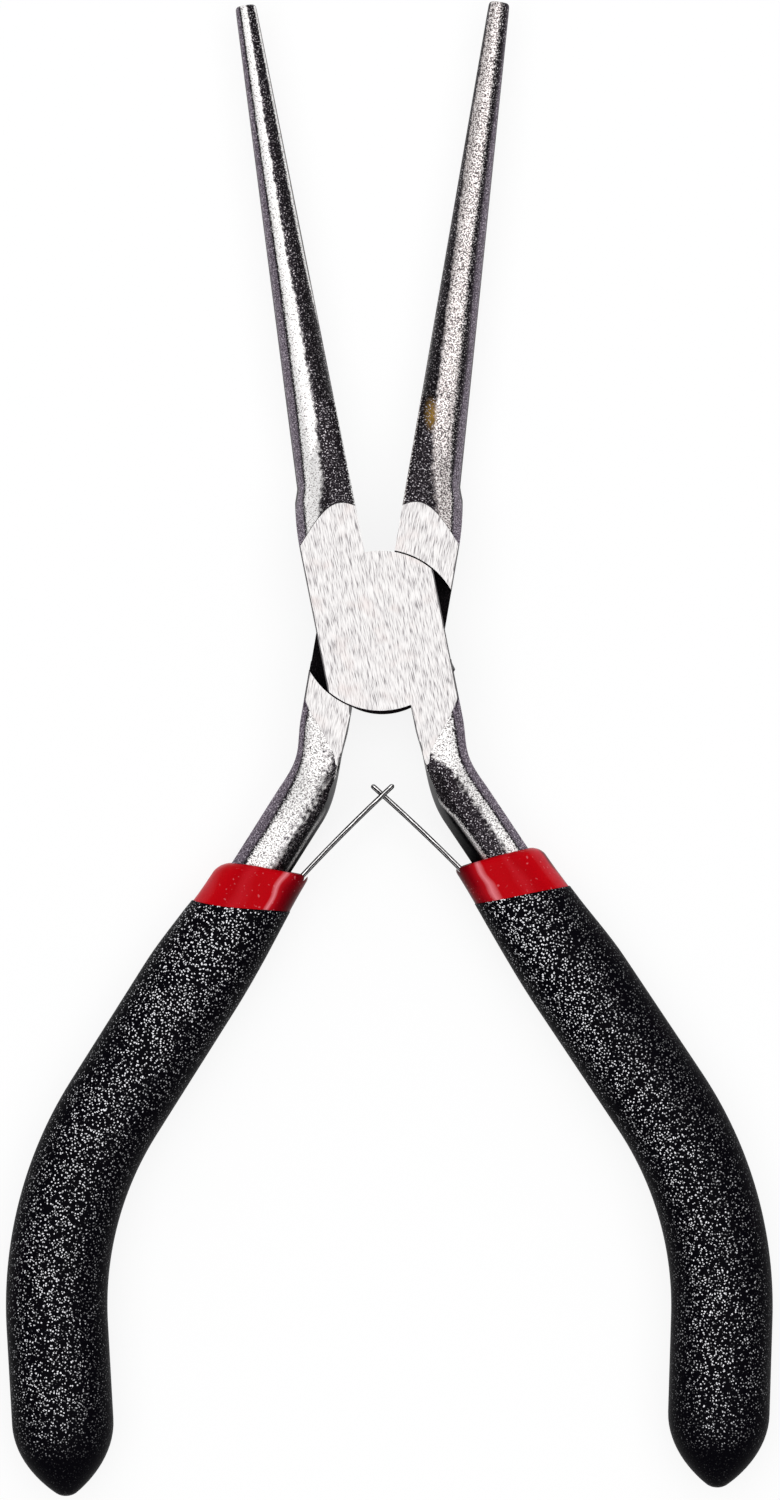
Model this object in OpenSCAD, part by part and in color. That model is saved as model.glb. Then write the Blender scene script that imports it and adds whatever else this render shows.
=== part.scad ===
// Round nose pliers: two identical forged halves on a lap joint, sprung open by crossed leaf springs.
// Millimetres. The pivot axis is Z, the jaws point along +Y, and the ground back of the joint lies on z = 0.

/* [Joint] */
// Thickness of the joint, across its two ground faces
joint_t = 9; // [8:0.1:11]
// Radius of each half's lap disc
lap_r = 7.7; // [7.2:0.1:8.5]
// Width of the joint across its flanks
neck_w = 12.2; // [11.6:0.1:13.4]
// Gap between the two lap faces
lap_gap = 0.04; // [0.02:0.01:0.1]
// Gap round the rim of each lap disc
rim_gap = 0.15; // [0.1:0.01:0.3]
// Angle between the halves with the springs at rest
open_angle = 21; // [10:1:26]

/* [Pivot rivet] */
// Diameter of the rivet's shank
rivet_d = 4.4; // [3.6:0.1:5]
// Diameter of the rivet's flush heads
rivet_head_d = 6; // [5.4:0.1:7]
// Depth of the countersink under each head
rivet_head_h = 1.2; // [0.8:0.1:1.8]
// Running clearance round the shank in the back half
rivet_clearance = 0.03; // [0.02:0.01:0.08]

/* [Jaws] */
// Distance from the pivot to the tips
jaw_length = 61.9; // [45:0.2:70]
// Diameter of a jaw at its tip
jaw_tip_d = 2; // [1.4:0.1:3]
// Diameter of a jaw where it leaves the shoulder
jaw_root_d = 5; // [4.4:0.1:5.6]
// Distance from the pivot to that place
jaw_root_y = 18; // [16:0.2:20]
// Radius of the rounded edge at the tip
tip_edge_r = 0.4; // [0.2:0.05:0.6]
// Gap left between each jaw and the closing line
jaw_clearance = 0.03; // [0.01:0.01:0.1]
// Length of a jaw's cone that is buried in the shoulder
jaw_bury = 8; // [6:0.5:9]
// Radius of the hollow sweep from the shoulder into the jaw
shoulder_r = 25; // [18:1:32]
// Distance from the pivot to the place where that sweep leaves the jaw
shoulder_y = 23; // [20:0.5:25]
// Offset of the shoulder's axis from the closing line
shoulder_x = 1.6; // [1.2:0.1:2.2]
// Distance from the pivot at which the flank starts to round into the shoulder
flank_y = 9; // [8.6:0.1:11]
// Radius of that rounding
flank_r = 28; // [20:1:40]

/* [Shanks] */
// Width of a shank under the joint
shank_top_w = 4.7; // [4.2:0.1:5.2]
// Width of a shank at its waist
shank_waist_w = 4.3; // [3.8:0.1:4.8]
// Width of a shank inside the grip
shank_w = 5.3; // [4.8:0.1:5.8]
// Length over which a shank narrows to its waist
waist_run = 3; // [2:0.5:5]
// Thickness of a shank inside the grip
shank_t = 6.2; // [5.8:0.1:6.8]
// Length over which the ground flat runs out, from the outer edge to the inner one
flat_run = 6; // [4:0.5:7]
// Drop of a shank's front and back from the inner side to the outer one
lean_t = 0.5; // [0.2:0.05:0.8]
// Width of the broad slope along the inner edges
slope_w = 1.9; // [1.4:0.1:2.2]
// Depth of that slope
slope_t = 1.1; // [0.8:0.05:1.2]
// Width of the chamfer along the outer edges
chamfer_w = 0.8; // [0.5:0.05:1.1]
// Depth of that chamfer
chamfer_t = 0.9; // [0.6:0.05:1.1]
// Draft of the inner side, which leans in from the parting line to the slope
draft_w = 0.6; // [0:0.05:0.8]
// Length over which the slope and the draft grow to their full width
slope_run = 2.2; // [1.5:0.1:4]
// Length over which the chamfer grows to its full width
chamfer_run = 4; // [2:0.5:6]
// Distance of a shank's centre line from the closing line
shank_x = 3.8; // [3.6:0.1:4.2]
// Distance from the pivot to the shank's outward bend
bend_y = 15.6; // [14.6:0.2:18]
// Radius of the outward bend
bend_r = 14; // [10:0.5:18]
// Angle that the shank turns outward
splay = 22.5; // [18:0.5:26]

/* [Grips] */
// Straight run from the outward bend to the palm curve
grip_run = 36.9; // [32:0.1:42]
// Radius of the palm curve
palm_r = 36; // [30:0.5:45]
// Angle that the palm curve turns back
palm_turn = 35.5; // [30:0.5:42]
// Straight run from the palm curve to the end of the grip
tail_run = 16.8; // [14:0.1:22]
// Full width of a grip
grip_w = 9.9; // [9.2:0.1:11]
// Length over which a grip grows from its mouth to its full size
swell_run = 14; // [10:1:20]
// Width of a grip at its mouth
mouth_w = 8.4; // [8:0.1:9]
// Thickness of a grip
grip_t = 9; // [8.8:0.1:10]
// Thickness of a grip at its mouth
mouth_t = 8.2; // [8:0.1:8.8]
// Offset of the grip towards the closing line, over the spring
grip_shift = 0.3; // [0:0.05:0.5]
// Distance from the pivot to the line where the red coat ends
red_y = 24; // [22.5:0.1:26]
// Distance from the pivot to the line where the black coat ends
black_y = 27.9; // [26.8:0.1:31]
// Wall of the red coat under the black one
red_wall = 0.7; // [0.4:0.05:1]
// Step from the black coat down to the red collar
coat_step = 0.12; // [0.05:0.01:0.3]
// Radius of the collar's rounded lip
lip_r = 0.9; // [0.5:0.1:1.3]
// Share of the lip's rounding that is moved from the inner side to the outer one
lip_lean = 0.4; // [0:0.05:0.6]
// Length of the rounded end of a grip
cap_length = 7.5; // [5:0.1:9]
// Distance from the end of the shank to the end of the grip
end_wall = 6; // [4.5:0.1:9]

/* [Leaf springs] */
// Thickness of the spring strip
leaf_t = 0.5; // [0.3:0.05:0.7]
// Width of the spring strip
leaf_w = 3.4; // [2.8:0.1:3.8]
// Length of the foot that is riveted to the shank
foot_length = 6.5; // [5:0.1:9]
// Distance along the shank from the black coat's line to the top of the foot
foot_drop = 0.4; // [0:0.1:2]
// Angle of the bend above the foot
leaf_bend = 9; // [6:0.5:14]
// Inside radius of that bend
leaf_bend_r = 6; // [3:0.5:10]
// Length of the free, slightly bowed part
leaf_free = 17.2; // [14:0.1:18]
// Angle that the free part bows through
leaf_bow = 6; // [2:0.5:10]
// Width of the tongue at the end of the front spring
tongue_w = 1.2; // [0.8:0.1:1.4]
// Width of the slot in the forked end of the back spring
slot_w = 1.6; // [1.5:0.1:2]
// Length of the tongue and of the slot
slot_length = 5.5; // [4.5:0.1:7]
// Diameter of the rivet through each foot
foot_rivet_d = 1.5; // [1.2:0.1:2]
// Length of that rivet in the shank
foot_rivet_length = 3; // [2:0.1:4]
// Diameter of the rivet's head
foot_head_d = 2.6; // [2.2:0.1:3]
// Height of the rivet's head
foot_head_h = 0.6; // [0.4:0.1:0.8]
// Room round each spring in the grip
pocket_clearance = 0.12; // [0.08:0.01:0.25]

/* [Hidden] */
$fn = 96;
mid_z = joint_t / 2;
slack = 2; // how far a cutting shape runs past what it cuts
grip_n = 28; // points round a grip
ring_gap = 3; // distance between the sections of a grip
bend_gap = 1.1; // distance between the sections round the bend of a shank
leaf_gap = 0.8; // distance between the points along a leaf spring
grip_squareness = 2.3; // power of a grip's superellipse section, where 2 is an ellipse
cap_power = 0.85; // outline of a grip's end from the front, where 0.5 is an ellipse and 1 a parabola
cap_side_power = 0.6; // the same, seen from the side
edge_w = 0.04; // width of the broken edges of a shank where it has no slope or chamfer yet
side_crown = 0.02; // how far a shank's upright inner side stands out at the parting line
shank_top_y = 4; // the shank starts this far from the pivot, inside the lap disc

// ---- Centre line of the shank and grip: [length, turn] of each leg, walked from the joint downwards ----
bend_tangent = bend_r * tan(splay / 2);
shank_legs = [
    [bend_y - shank_top_y - bend_tangent, 0],
    [arc_length(bend_r, splay), splay],
    [grip_run - bend_tangent, 0],
    [arc_length(palm_r, palm_turn), -palm_turn],
    [tail_run, 0]
];
bend_end_s = shank_legs[0][0] + shank_legs[1][0];
path_length = bend_end_s + shank_legs[2][0] + shank_legs[3][0] + shank_legs[4][0];
shank_length = path_length - end_wall;
red_s = path_at_y(red_y);
black_s = path_at_y(black_y);
foot_top_s = black_s + foot_drop;

// The strip of a leaf spring: its foot runs up the shank, then it bends away and bows
leaf_legs = [[foot_length, 0], [arc_length(leaf_bend_r, leaf_bend), leaf_bend], [leaf_free, leaf_bow]];
leaf_length = leaf_legs[0][0] + leaf_legs[1][0] + leaf_legs[2][0];
function leaf_pose(s) = walk(leaf_legs, [0, 0, 180], s);

function arc_length(r, angle) = r * angle * PI / 180;
// Distance along the path at which the straight shank is y below the pivot
function path_at_y(y) = bend_end_s + (y - bend_y - bend_tangent * cos(splay)) / cos(splay);
// A pose is [x, y, heading], with the heading turned from -Y towards +X
function advance(pose, length, turn) = turn == 0
    ? [pose.x + length * sin(pose[2]), pose.y - length * cos(pose[2]), pose[2]]
    : let (r = length * 180 / PI / turn, h = pose[2])
        [pose.x + r * (cos(h) - cos(h + turn)), pose.y - r * (sin(h + turn) - sin(h)), h + turn];
function walk(legs, pose, s, i = 0) = let (leg = legs[i])
    s <= leg[0] || i == len(legs) - 1
    ? advance(pose, s, leg[1] * s / leg[0])
    : walk(legs, advance(pose, leg[0], leg[1]), s - leg[0], i + 1);
function shank_pose(s) = walk(shank_legs, [shank_x, -shank_top_y, 0], s);
// The point beside a pose
function beside(pose, distance) = [pose.x + distance * cos(pose[2]), pose.y + distance * sin(pose[2])];

// ---- Values that change along the path, eased between the rows [s, value] of a table ----
function ease(t) = t * t * (3 - 2 * t);
function row_before(table, s, i = 0) =
    i >= len(table) - 2 || s < table[i + 1][0] ? i : row_before(table, s, i + 1);
function eased(table, s) = let (
        i = row_before(table, s),
        t = (s - table[i][0]) / (table[i + 1][0] - table[i][0])
    ) table[i][1] + (table[i + 1][1] - table[i][1]) * ease(max(0, min(1, t)));

waist_s = shank_legs[0][0];
full_s = bend_end_s + waist_run;
flat_end_s = waist_s + 0.2;
shank_width = [
    [0, shank_top_w], [waist_s - waist_run, shank_top_w], [waist_s, shank_waist_w], [bend_end_s, shank_w]
];
// The joint is ground through the top of the forging, down to where its front and back drop under the flat
shank_thickness = [
    [0, joint_t + 2 * lean_t], [flat_end_s - flat_run, joint_t + 2 * lean_t], [flat_end_s, joint_t], [full_s, shank_t]
];
slope_share = [[0, 0], [flat_end_s, 0], [flat_end_s + slope_run, 1]];
// The draft stops short of the grip, where the leaf spring's foot needs an upright side
draft_share = [
    [0, 0], [flat_end_s, 0], [flat_end_s + slope_run, 1], [red_s - slope_run, 1], [red_s + slope_run, 0]
];
chamfer_share = [[0, 0], [flat_end_s - flat_run, 0], [flat_end_s - flat_run + chamfer_run, 1]];

// A forged section's points, [across, up], from the inner side over the front and back
function forged_section(a, b, slope, draft, chamfer) = let (
        in_w = max(edge_w, slope_w * slope),
        in_t = max(edge_w, slope_t * slope),
        out_w = max(edge_w, chamfer_w * chamfer),
        out_t = max(edge_w, chamfer_t * chamfer),
        wall_w = side_crown + draft_w * draft,
        front = [
            [-a + wall_w, b - in_t],
            [-a + (wall_w + in_w) / 2, b - 0.4 * in_t],
            [-a + in_w, b],
            [(in_w - out_w) / 2, b - lean_t / 4],
            [a - out_w, b - lean_t],
            [a, b - lean_t - out_t]
        ]
    ) concat([[-a, 0]], front, [for (i = [len(front) - 1:-1:0]) [front[i].x, -front[i].y]]);
function round_section(a, b) = [
    for (i = [0:grip_n - 1]) let (angle = 180 - (i + 0.5) * 360 / grip_n, power = 2 / grip_squareness)
        [a * sign(cos(angle)) * pow(abs(cos(angle)), power), b * sign(sin(angle)) * pow(abs(sin(angle)), power)]
];
// A section stood on the path, in a plane turned by angle from the closing line's normal
function stand(section, pose, angle, shift = 0) = [
    for (p = section) [
        pose.x - shift * cos(pose[2]) + p.x * cos(angle),
        pose.y - shift * sin(pose[2]) + p.x * sin(angle),
        mid_z + p.y
    ]
];
function shank_ring(s) = let (pose = shank_pose(s)) stand(
    forged_section(
        eased(shank_width, s) / 2, eased(shank_thickness, s) / 2,
        eased(slope_share, s), eased(draft_share, s), eased(chamfer_share, s)
    ),
    pose, pose[2]
);

// ---- Grip surface ----
cap_s = path_length - cap_length;
grip_width = [[red_s, mouth_w], [red_s + swell_run, grip_w]];
grip_thickness = [[red_s, mouth_t], [red_s + swell_run, grip_t]];
// The coats end on lines square to the closing line, and the sections turn square to the path below them
square_share = [[red_s, 0], [black_s, 0], [black_s + swell_run, 1]];
function cap_share(s, power) = s <= cap_s ? 1 : pow(1 - pow((s - cap_s) / cap_length, 2), power);
function grip_ring(s, inset) = let (
        pose = shank_pose(s),
        angle = pose[2] * eased(square_share, s),
        across = eased(grip_width, s) / 2 * cap_share(s, cap_power) - inset,
        up = eased(grip_thickness, s) / 2 * cap_share(s, cap_side_power) - inset
    ) stand(round_section(across / cos(pose[2] - angle), up), pose, angle, grip_shift + lip_lean * inset);
function steps(from, to, gap) = let (n = max(1, ceil((to - from) / gap))) [for (i = [0:n]) from + (to - from) * i / n];

// Solid through a list of sections that have as many points each
module loft(rings) {
    n = len(rings[0]);
    last = len(rings) - 1;
    sides = [
        for (r = [0:last - 1], i = [0:n - 1]) let (
            a = r * n + i, b = r * n + (i + 1) % n, c = a + n, d = b + n
        ) each [[a, b, d], [a, d, c]]
    ];
    polyhedron(
        points = [for (ring = rings) each ring],
        faces = concat([[for (i = [n - 1:-1:0]) i]], sides, [[for (i = [0:n - 1]) last * n + i]])
    );
}

// ---- One forged half, in the closed position, with its lap disc at the front ----
module shank() {
    loft([for (s = concat(steps(0, full_s, bend_gap), steps(full_s + ring_gap, shank_length, ring_gap))) shank_ring(s)]);
}

module lap_disc() {
    translate([0, 0, mid_z + lap_gap / 2])
        linear_extrude(joint_t / 2 - lap_gap / 2)
            intersection() {
                circle(lap_r);
                square([neck_w, 4 * lap_r], center = true);
            }
}

// Radius of a jaw at a distance from the pivot
function jaw_r(y) = (jaw_root_d + (jaw_tip_d - jaw_root_d) * (y - jaw_root_y) / (jaw_length - jaw_root_y)) / 2;

// The jaw's cone lies against the closing line, so its axis leans by half the cone's angle
module jaw() {
    tip_r = jaw_tip_d / 2;
    root_r = jaw_root_d / 2;
    lean = atan((root_r - tip_r) / (jaw_length - jaw_root_y));
    length = (jaw_length - jaw_root_y) / cos(lean) + jaw_bury;
    base_r = root_r + jaw_bury * tan(lean);
    translate([-jaw_clearance - base_r * cos(lean), jaw_root_y - jaw_bury, mid_z])
        rotate([-90, 0, -lean])
            rotate_extrude()
                difference() {
                    polygon([[0, 0], [base_r, 0], [tip_r, length], [0, length]]);
                    translate([tip_r - tip_edge_r, length - tip_edge_r])
                        difference() {
                            square(2 * tip_edge_r);
                            circle(tip_edge_r);
                        }
                }
}

// A hollow sweep turned from the jaw's radius out to the joint's corners, cut by the two ground faces and the flank
module jaw_shoulder() {
    base_y = lap_r / 2;
    thin_r = jaw_r(shoulder_y);
    intersection() {
        translate([-shoulder_x, 0, mid_z])
            rotate([-90, 0, 0])
                rotate_extrude()
                    difference() {
                        translate([0, base_y]) square([neck_w, shoulder_y - base_y]);
                        translate([thin_r + shoulder_r, shoulder_y]) circle(shoulder_r);
                    }
        linear_extrude(joint_t)
            difference() {
                union() {
                    translate([-neck_w / 2, 0]) square([neck_w, flank_y]);
                    translate([flank_r - neck_w / 2, flank_y]) circle(flank_r);
                }
                translate([-jaw_clearance, -flank_r]) square(3 * flank_r);
            }
    }
}

// The other half's disc turns in this round cut
module lap_cut() {
    translate([0, 0, -slack]) cylinder(r = lap_r + rim_gap, h = mid_z + lap_gap / 2 + slack);
}

module rivet_body(grow = 0) {
    rotate_extrude()
        polygon([
            [0, 0], [rivet_head_d / 2 + grow, 0], [rivet_d / 2 + grow, rivet_head_h],
            [rivet_d / 2 + grow, joint_t - rivet_head_h], [rivet_head_d / 2 + grow, joint_t], [0, joint_t]
        ]);
}

module forged_half(clearance) {
    difference() {
        union() {
            difference() {
                union() {
                    jaw_shoulder();
                    intersection() {
                        shank();
                        translate([-neck_w, -path_length, 0]) cube([path_length, path_length, joint_t]);
                    }
                }
                lap_cut();
            }
            lap_disc();
            jaw();
        }
        rivet_body(clearance);
        on_foot() foot_rivet_hole();
    }
}

// ---- Leaf springs, built on the inner face of the straight shank: +Y runs up the shank, -X away from it ----
module on_foot() {
    pose = shank_pose(foot_top_s + foot_length);
    translate([pose.x, pose.y, mid_z])
        rotate([0, 0, splay])
            translate([-shank_w / 2, 0, 0]) children();
}

// Outline of the strip between two places along it, with its faces at two distances from the shank's side
function leaf_outline(from, to, near, far) = let (places = steps(from, to, leaf_gap)) concat(
    [for (s = places) beside(leaf_pose(s), near)],
    [for (i = [len(places) - 1:-1:0]) beside(leaf_pose(places[i]), far)]
);

module leaf_strip() {
    difference() {
        translate([0, 0, -leaf_w / 2])
            linear_extrude(leaf_w) polygon(leaf_outline(0, leaf_length, 0, leaf_t));
        on_foot_rivet() cylinder(d = foot_rivet_d, h = 2 * slack, center = true);
    }
}

// The free end of a strip, with +Y pointing on along it
module at_leaf_end() {
    pose = leaf_pose(leaf_length);
    translate([pose.x, pose.y, 0]) rotate([0, 0, pose[2] - 180]) children();
}

module on_foot_rivet() {
    translate([0, foot_length / 2, 0]) rotate([0, 90, 0]) children();
}

module foot_rivet_hole() {
    on_foot_rivet() translate([0, 0, -slack]) cylinder(d = foot_rivet_d, h = slack + foot_rivet_length);
}

// The tongue is what is left between two side cuts
module tongue_leaf() {
    side_w = (leaf_w - tongue_w) / 2;
    difference() {
        leaf_strip();
        at_leaf_end()
            for (side = [-1, 1])
                translate([-slack, -slot_length, side * (tongue_w + side_w) / 2 - side_w / 2 - (side < 0 ? slack : 0)])
                    cube([2 * slack, 2 * slot_length, side_w + slack]);
    }
}

module forked_leaf() {
    difference() {
        leaf_strip();
        at_leaf_end() {
            translate([-slack, -slot_length, -slot_w / 2]) cube([2 * slack, 2 * slot_length, slot_w]);
            translate([0, -slot_length, 0]) rotate([0, 90, 0]) cylinder(d = slot_w, h = 2 * slack, center = true);
        }
    }
}

module foot_rivet() {
    on_foot_rivet() {
        translate([0, 0, -leaf_t]) cylinder(d = foot_rivet_d, h = leaf_t + foot_rivet_length);
        translate([0, 0, -leaf_t - foot_head_h]) cylinder(d1 = foot_head_d * 0.7, d2 = foot_head_d, h = foot_head_h);
    }
}

// Room for the foot, the rivet's head and the leaf as far as the mouth of the grip
module spring_pocket() {
    head_x = leaf_t + foot_head_h + pocket_clearance;
    leaf_x = leaf_t + pocket_clearance;
    out_s = foot_length + foot_top_s - red_s + slack;
    collar_y = foot_length + foot_drop + shank_w / 2 * tan(splay);
    translate([0, 0, -leaf_w / 2 - pocket_clearance])
        linear_extrude(leaf_w + 2 * pocket_clearance) {
            polygon(leaf_outline(foot_length, out_s, -slack, leaf_x));
            translate([-head_x, -pocket_clearance]) square([head_x + slack, collar_y + pocket_clearance]);
        }
}

// ---- Coats ----
// Outside of the red coat: a collar that shows, and a thin coat under the black one
module red_body() {
    collar_s = steps(red_s + lip_r, black_s, ring_gap / 2);
    under_s = steps(black_s, shank_length + red_wall, ring_gap);
    loft(concat(
        [for (a = [90:-22.5:22.5]) grip_ring(red_s + lip_r * (1 - sin(a)), coat_step + lip_r * (1 - cos(a)))],
        [for (s = collar_s) grip_ring(s, coat_step)],
        [for (s = under_s) coat_ring(s)]
    ));
}
function coat_ring(s) = let (pose = shank_pose(s), angle = pose[2] * eased(square_share, s))
    stand(round_section((shank_w / 2 + red_wall) / cos(pose[2] - angle), shank_t / 2 + red_wall), pose, angle);

module red_coat() {
    difference() {
        red_body();
        shank();
        on_foot() spring_pocket();
    }
}

module black_body() {
    body_s = steps(black_s, cap_s, ring_gap);
    loft(concat(
        [for (s = body_s) grip_ring(s, 0)],
        [for (a = [15:15:75]) grip_ring(cap_s + cap_length * sin(a), 0)]
    ));
}

module black_coat() {
    difference() {
        black_body();
        red_body();
        on_foot() spring_pocket();
    }
}

// ---- Placing the halves ----
module front() {
    rotate([0, 0, open_angle / 2]) children();
}

module back() {
    rotate([0, 0, -open_angle / 2]) translate([0, 0, joint_t]) rotate([0, 180, 0]) children();
}

color("silver") front() forged_half(0);  // front_half
color("silver") back() forged_half(rivet_clearance);  // back_half
color("lightgray") front() rivet_body();  // pivot_rivet
color("firebrick") front() red_coat();  // front_red_coat
color("firebrick") back() red_coat();  // back_red_coat
color("dimgray") front() black_coat();  // front_black_coat
color("dimgray") back() black_coat();  // back_black_coat
color("gray") front() on_foot() tongue_leaf();  // tongue_leaf_spring
color("gray") back() on_foot() forked_leaf();  // forked_leaf_spring
color("gray") front() on_foot() foot_rivet();  // front_spring_rivet
color("gray") back() on_foot() foot_rivet();  // back_spring_rivet
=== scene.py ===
# %% [markdown]
# # Round nose pliers
# A lesson in dressing a CAD model: two forged steel halves on a lap joint, crossed leaf springs, and grips
# dipped twice, first in red PVC and then in black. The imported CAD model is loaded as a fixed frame, and
# every piece is placed by it. A piece is built in millimetres, in its place on a closed half, and is then
# scaled to metres and turned to where that half lies.

# %% Load the frame
import bpy
import math
from functools import partial
from types import SimpleNamespace
from mathutils import Matrix, Vector
import numpy as np


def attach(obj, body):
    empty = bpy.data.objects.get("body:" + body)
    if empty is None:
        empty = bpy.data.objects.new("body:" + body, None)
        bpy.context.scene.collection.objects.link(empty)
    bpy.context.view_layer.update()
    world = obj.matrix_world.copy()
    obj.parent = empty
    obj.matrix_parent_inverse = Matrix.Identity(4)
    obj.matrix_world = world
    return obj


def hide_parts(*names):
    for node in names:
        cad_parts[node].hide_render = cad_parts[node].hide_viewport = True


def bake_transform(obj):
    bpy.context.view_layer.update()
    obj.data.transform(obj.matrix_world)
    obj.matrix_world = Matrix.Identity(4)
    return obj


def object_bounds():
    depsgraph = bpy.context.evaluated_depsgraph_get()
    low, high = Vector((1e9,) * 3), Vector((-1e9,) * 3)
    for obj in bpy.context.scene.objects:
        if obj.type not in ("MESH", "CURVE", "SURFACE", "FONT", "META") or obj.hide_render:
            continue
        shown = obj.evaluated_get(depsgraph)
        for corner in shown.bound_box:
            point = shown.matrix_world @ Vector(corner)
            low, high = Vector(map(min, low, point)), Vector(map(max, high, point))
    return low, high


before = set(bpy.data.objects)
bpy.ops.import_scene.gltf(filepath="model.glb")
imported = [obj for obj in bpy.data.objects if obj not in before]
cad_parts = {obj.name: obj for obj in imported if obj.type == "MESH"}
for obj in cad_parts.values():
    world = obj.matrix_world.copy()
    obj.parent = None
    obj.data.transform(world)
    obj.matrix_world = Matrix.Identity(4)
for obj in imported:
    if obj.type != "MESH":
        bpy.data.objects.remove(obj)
cad_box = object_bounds()
MM = 0.001    # the frame is in metres
scene = bpy.context.scene
print("CAD box in mm:", [[round(v / MM, 2) for v in corner] for corner in cad_box])

# %% [markdown]
# ## Camera
# The pliers lie flat and are seen straight from above. A long lens a metre away hardly shows any
# perspective, which keeps the long jaws and grips in proportion. The camera is rolled by less than a
# degree, because the pliers don't lie quite square to the frame.

# %% Camera
VIEW_HEIGHT = 145.07 * MM   # what the long side of the frame takes in
VIEW_DISTANCE = 1136 * MM
VIEW_CENTRE = Vector((0.762, -11.507)) * MM
VIEW_ROLL = math.radians(-0.744)
JOINT_T = cad_box[1].z - cad_box[0].z   # thickness of the joint, which is the thickest part
MID_Z = (cad_box[0].z + cad_box[1].z) / 2

camera_data = bpy.data.cameras.new("camera")
camera_data.sensor_width = 36
camera_data.lens = camera_data.sensor_width * VIEW_DISTANCE / VIEW_HEIGHT
camera = bpy.data.objects.new("camera", camera_data)
camera.location = (*VIEW_CENTRE, MID_Z + VIEW_DISTANCE)
camera.rotation_euler = (0, 0, VIEW_ROLL)
scene.collection.objects.link(camera)
scene.camera = camera
scene.view_settings.view_transform = "Standard"
print("lens:", round(camera_data.lens, 1), "mm")

# %% [markdown]
# ## Colours and nodes
# Colours are written as the hex values that a screen shows, and Blender works in linear light, so one
# function turns one into the other. A second one adds a shader node with its settings and links.

# %% Helpers for materials
def linear(hex_colour):
    """A screen colour such as "#b80010" as the linear RGBA that Blender works in."""
    shown = [int(hex_colour[i:i + 2], 16) / 255 for i in (1, 3, 5)]
    return (*[c / 12.92 if c <= 0.04045 else ((c + 0.055) / 1.055) ** 2.4 for c in shown], 1)


def add_node(tree, kind, inputs=(), stops=None, **settings):
    """Adds a node, such as "Emission", or "Math.ADD" with its operation. The inputs are a list in the order of
    the node's sockets, or a dict of their names. Each is a number, a colour, another node, or a node with the
    name of its output. Stops are those of a colour ramp."""
    kind, _, operation = kind.partition(".")
    node = tree.nodes.new("ShaderNode" + kind)
    if operation:
        node.operation = operation
    for name, value in settings.items():
        setattr(node, name, value)
    if stops:
        elements = node.color_ramp.elements
        elements[0].position, elements[-1].position = stops[0][0], stops[-1][0]
        for position, _ in stops[1:-1]:
            elements.new(position)
        for element, (_, colour) in zip(elements, stops):
            element.color = linear(colour)
    used = [s for s in node.inputs if s.enabled]
    for name, value in (inputs.items() if isinstance(inputs, dict) else enumerate(inputs)):
        socket = used[name] if isinstance(name, int) else next(s for s in used if s.name == name)
        if isinstance(value, tuple) and isinstance(value[0], bpy.types.Node):
            tree.links.new(value[0].outputs[value[1]], socket)
        elif isinstance(value, bpy.types.Node):
            tree.links.new(next(o for o in value.outputs if o.enabled), socket)
        else:
            socket.default_value = value
    return node


def new_material(name):
    """A material with nothing in it, and what adds nodes to it."""
    material = bpy.data.materials.new(name)
    material.use_nodes = True
    material.node_tree.nodes.clear()
    return material, partial(add_node, material.node_tree)


print("a mid grey in linear light:", round(linear("#808080")[0], 3))

# %% [markdown]
# ## Studio: the floor
# The pliers lie on pale paper. Part of its white comes from the light path trick, for the camera, for
# reflections and for what is seen through a piece. The rest is lit by the lamps, so that the floor still
# takes a soft shadow.

# %% Floor
FLOOR_REACH = 3.0      # half the floor's width, in metres
FLOOR_DROP = 0.02 * MM   # keeps the floor clear of the pliers' underside
FLOOR_GLOW = 0.86      # how much of the floor's white doesn't depend on the lamps

floor_mesh = bpy.data.meshes.new("floor")
floor_z = cad_box[0].z - FLOOR_DROP
corners = [(x * FLOOR_REACH, y * FLOOR_REACH, 0) for x, y in ((-1, -1), (1, -1), (1, 1), (-1, 1))]
floor_mesh.from_pydata(corners, [], [(0, 1, 2, 3)])
floor = bpy.data.objects.new("floor", floor_mesh)
floor.location = (0, 0, floor_z)
scene.collection.objects.link(floor)

# Uncoated paper, rolled smooth. It gives the eye an even white with no gloss
paper, add = new_material("matt_white_paper")
path = add("LightPath")
seen = add("Math.MAXIMUM", [(path, "Is Camera Ray"), (path, "Is Glossy Ray")])
seen = add("Math.MAXIMUM", [seen, (path, "Is Transmission Ray")])
share = add("Math.MULTIPLY", [seen, FLOOR_GLOW])
lit = add("BsdfDiffuse", {"Color": linear("#f4f4f4")})
glow = add("Emission", {"Color": (1, 1, 1, 1), "Strength": 1.0})
mixed = add("MixShader", [share, lit, glow])
add("OutputMaterial", {"Surface": mixed})
floor_mesh.materials.append(paper)
print("floor at", round(floor_z / MM, 2), "mm")

# %% [markdown]
# ## Studio: walls and lamps
# Bare metal shows what is round it, so the studio is part of the finish. A broad soft lamp overhead lights the
# ground flats evenly. The walls get darker above the table, and round steel picks up that darkness beside its
# crest, where the bright crest itself is a painted highlight.

# %% Walls and lamps
LAMP_HEIGHT, LAMP_SIZE = 1.35, 1.9     # the overhead lamp, in metres
FAR_LAMP_AT, FAR_LAMP_SIZE = (0, 1.75, 0.95), (1.3, 1.0)   # a lamp past the jaws' tips
LAMP_RADIANCE = 2.3

world = bpy.data.worlds.new("studio")
scene.world = world
world.use_nodes = True
world.node_tree.nodes.clear()
add = partial(add_node, world.node_tree)
direction = add("TexCoord")
height = add("SeparateXYZ", [(direction, "Generated")])
walls = add("ValToRGB", [(height, "Z")], stops=[(0.06, "#ffffff"), (0.30, "#5a5a5e")])
background = add("Background", {"Color": walls, "Strength": 1.0})
add("OutputWorld", {"Surface": background})


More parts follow.
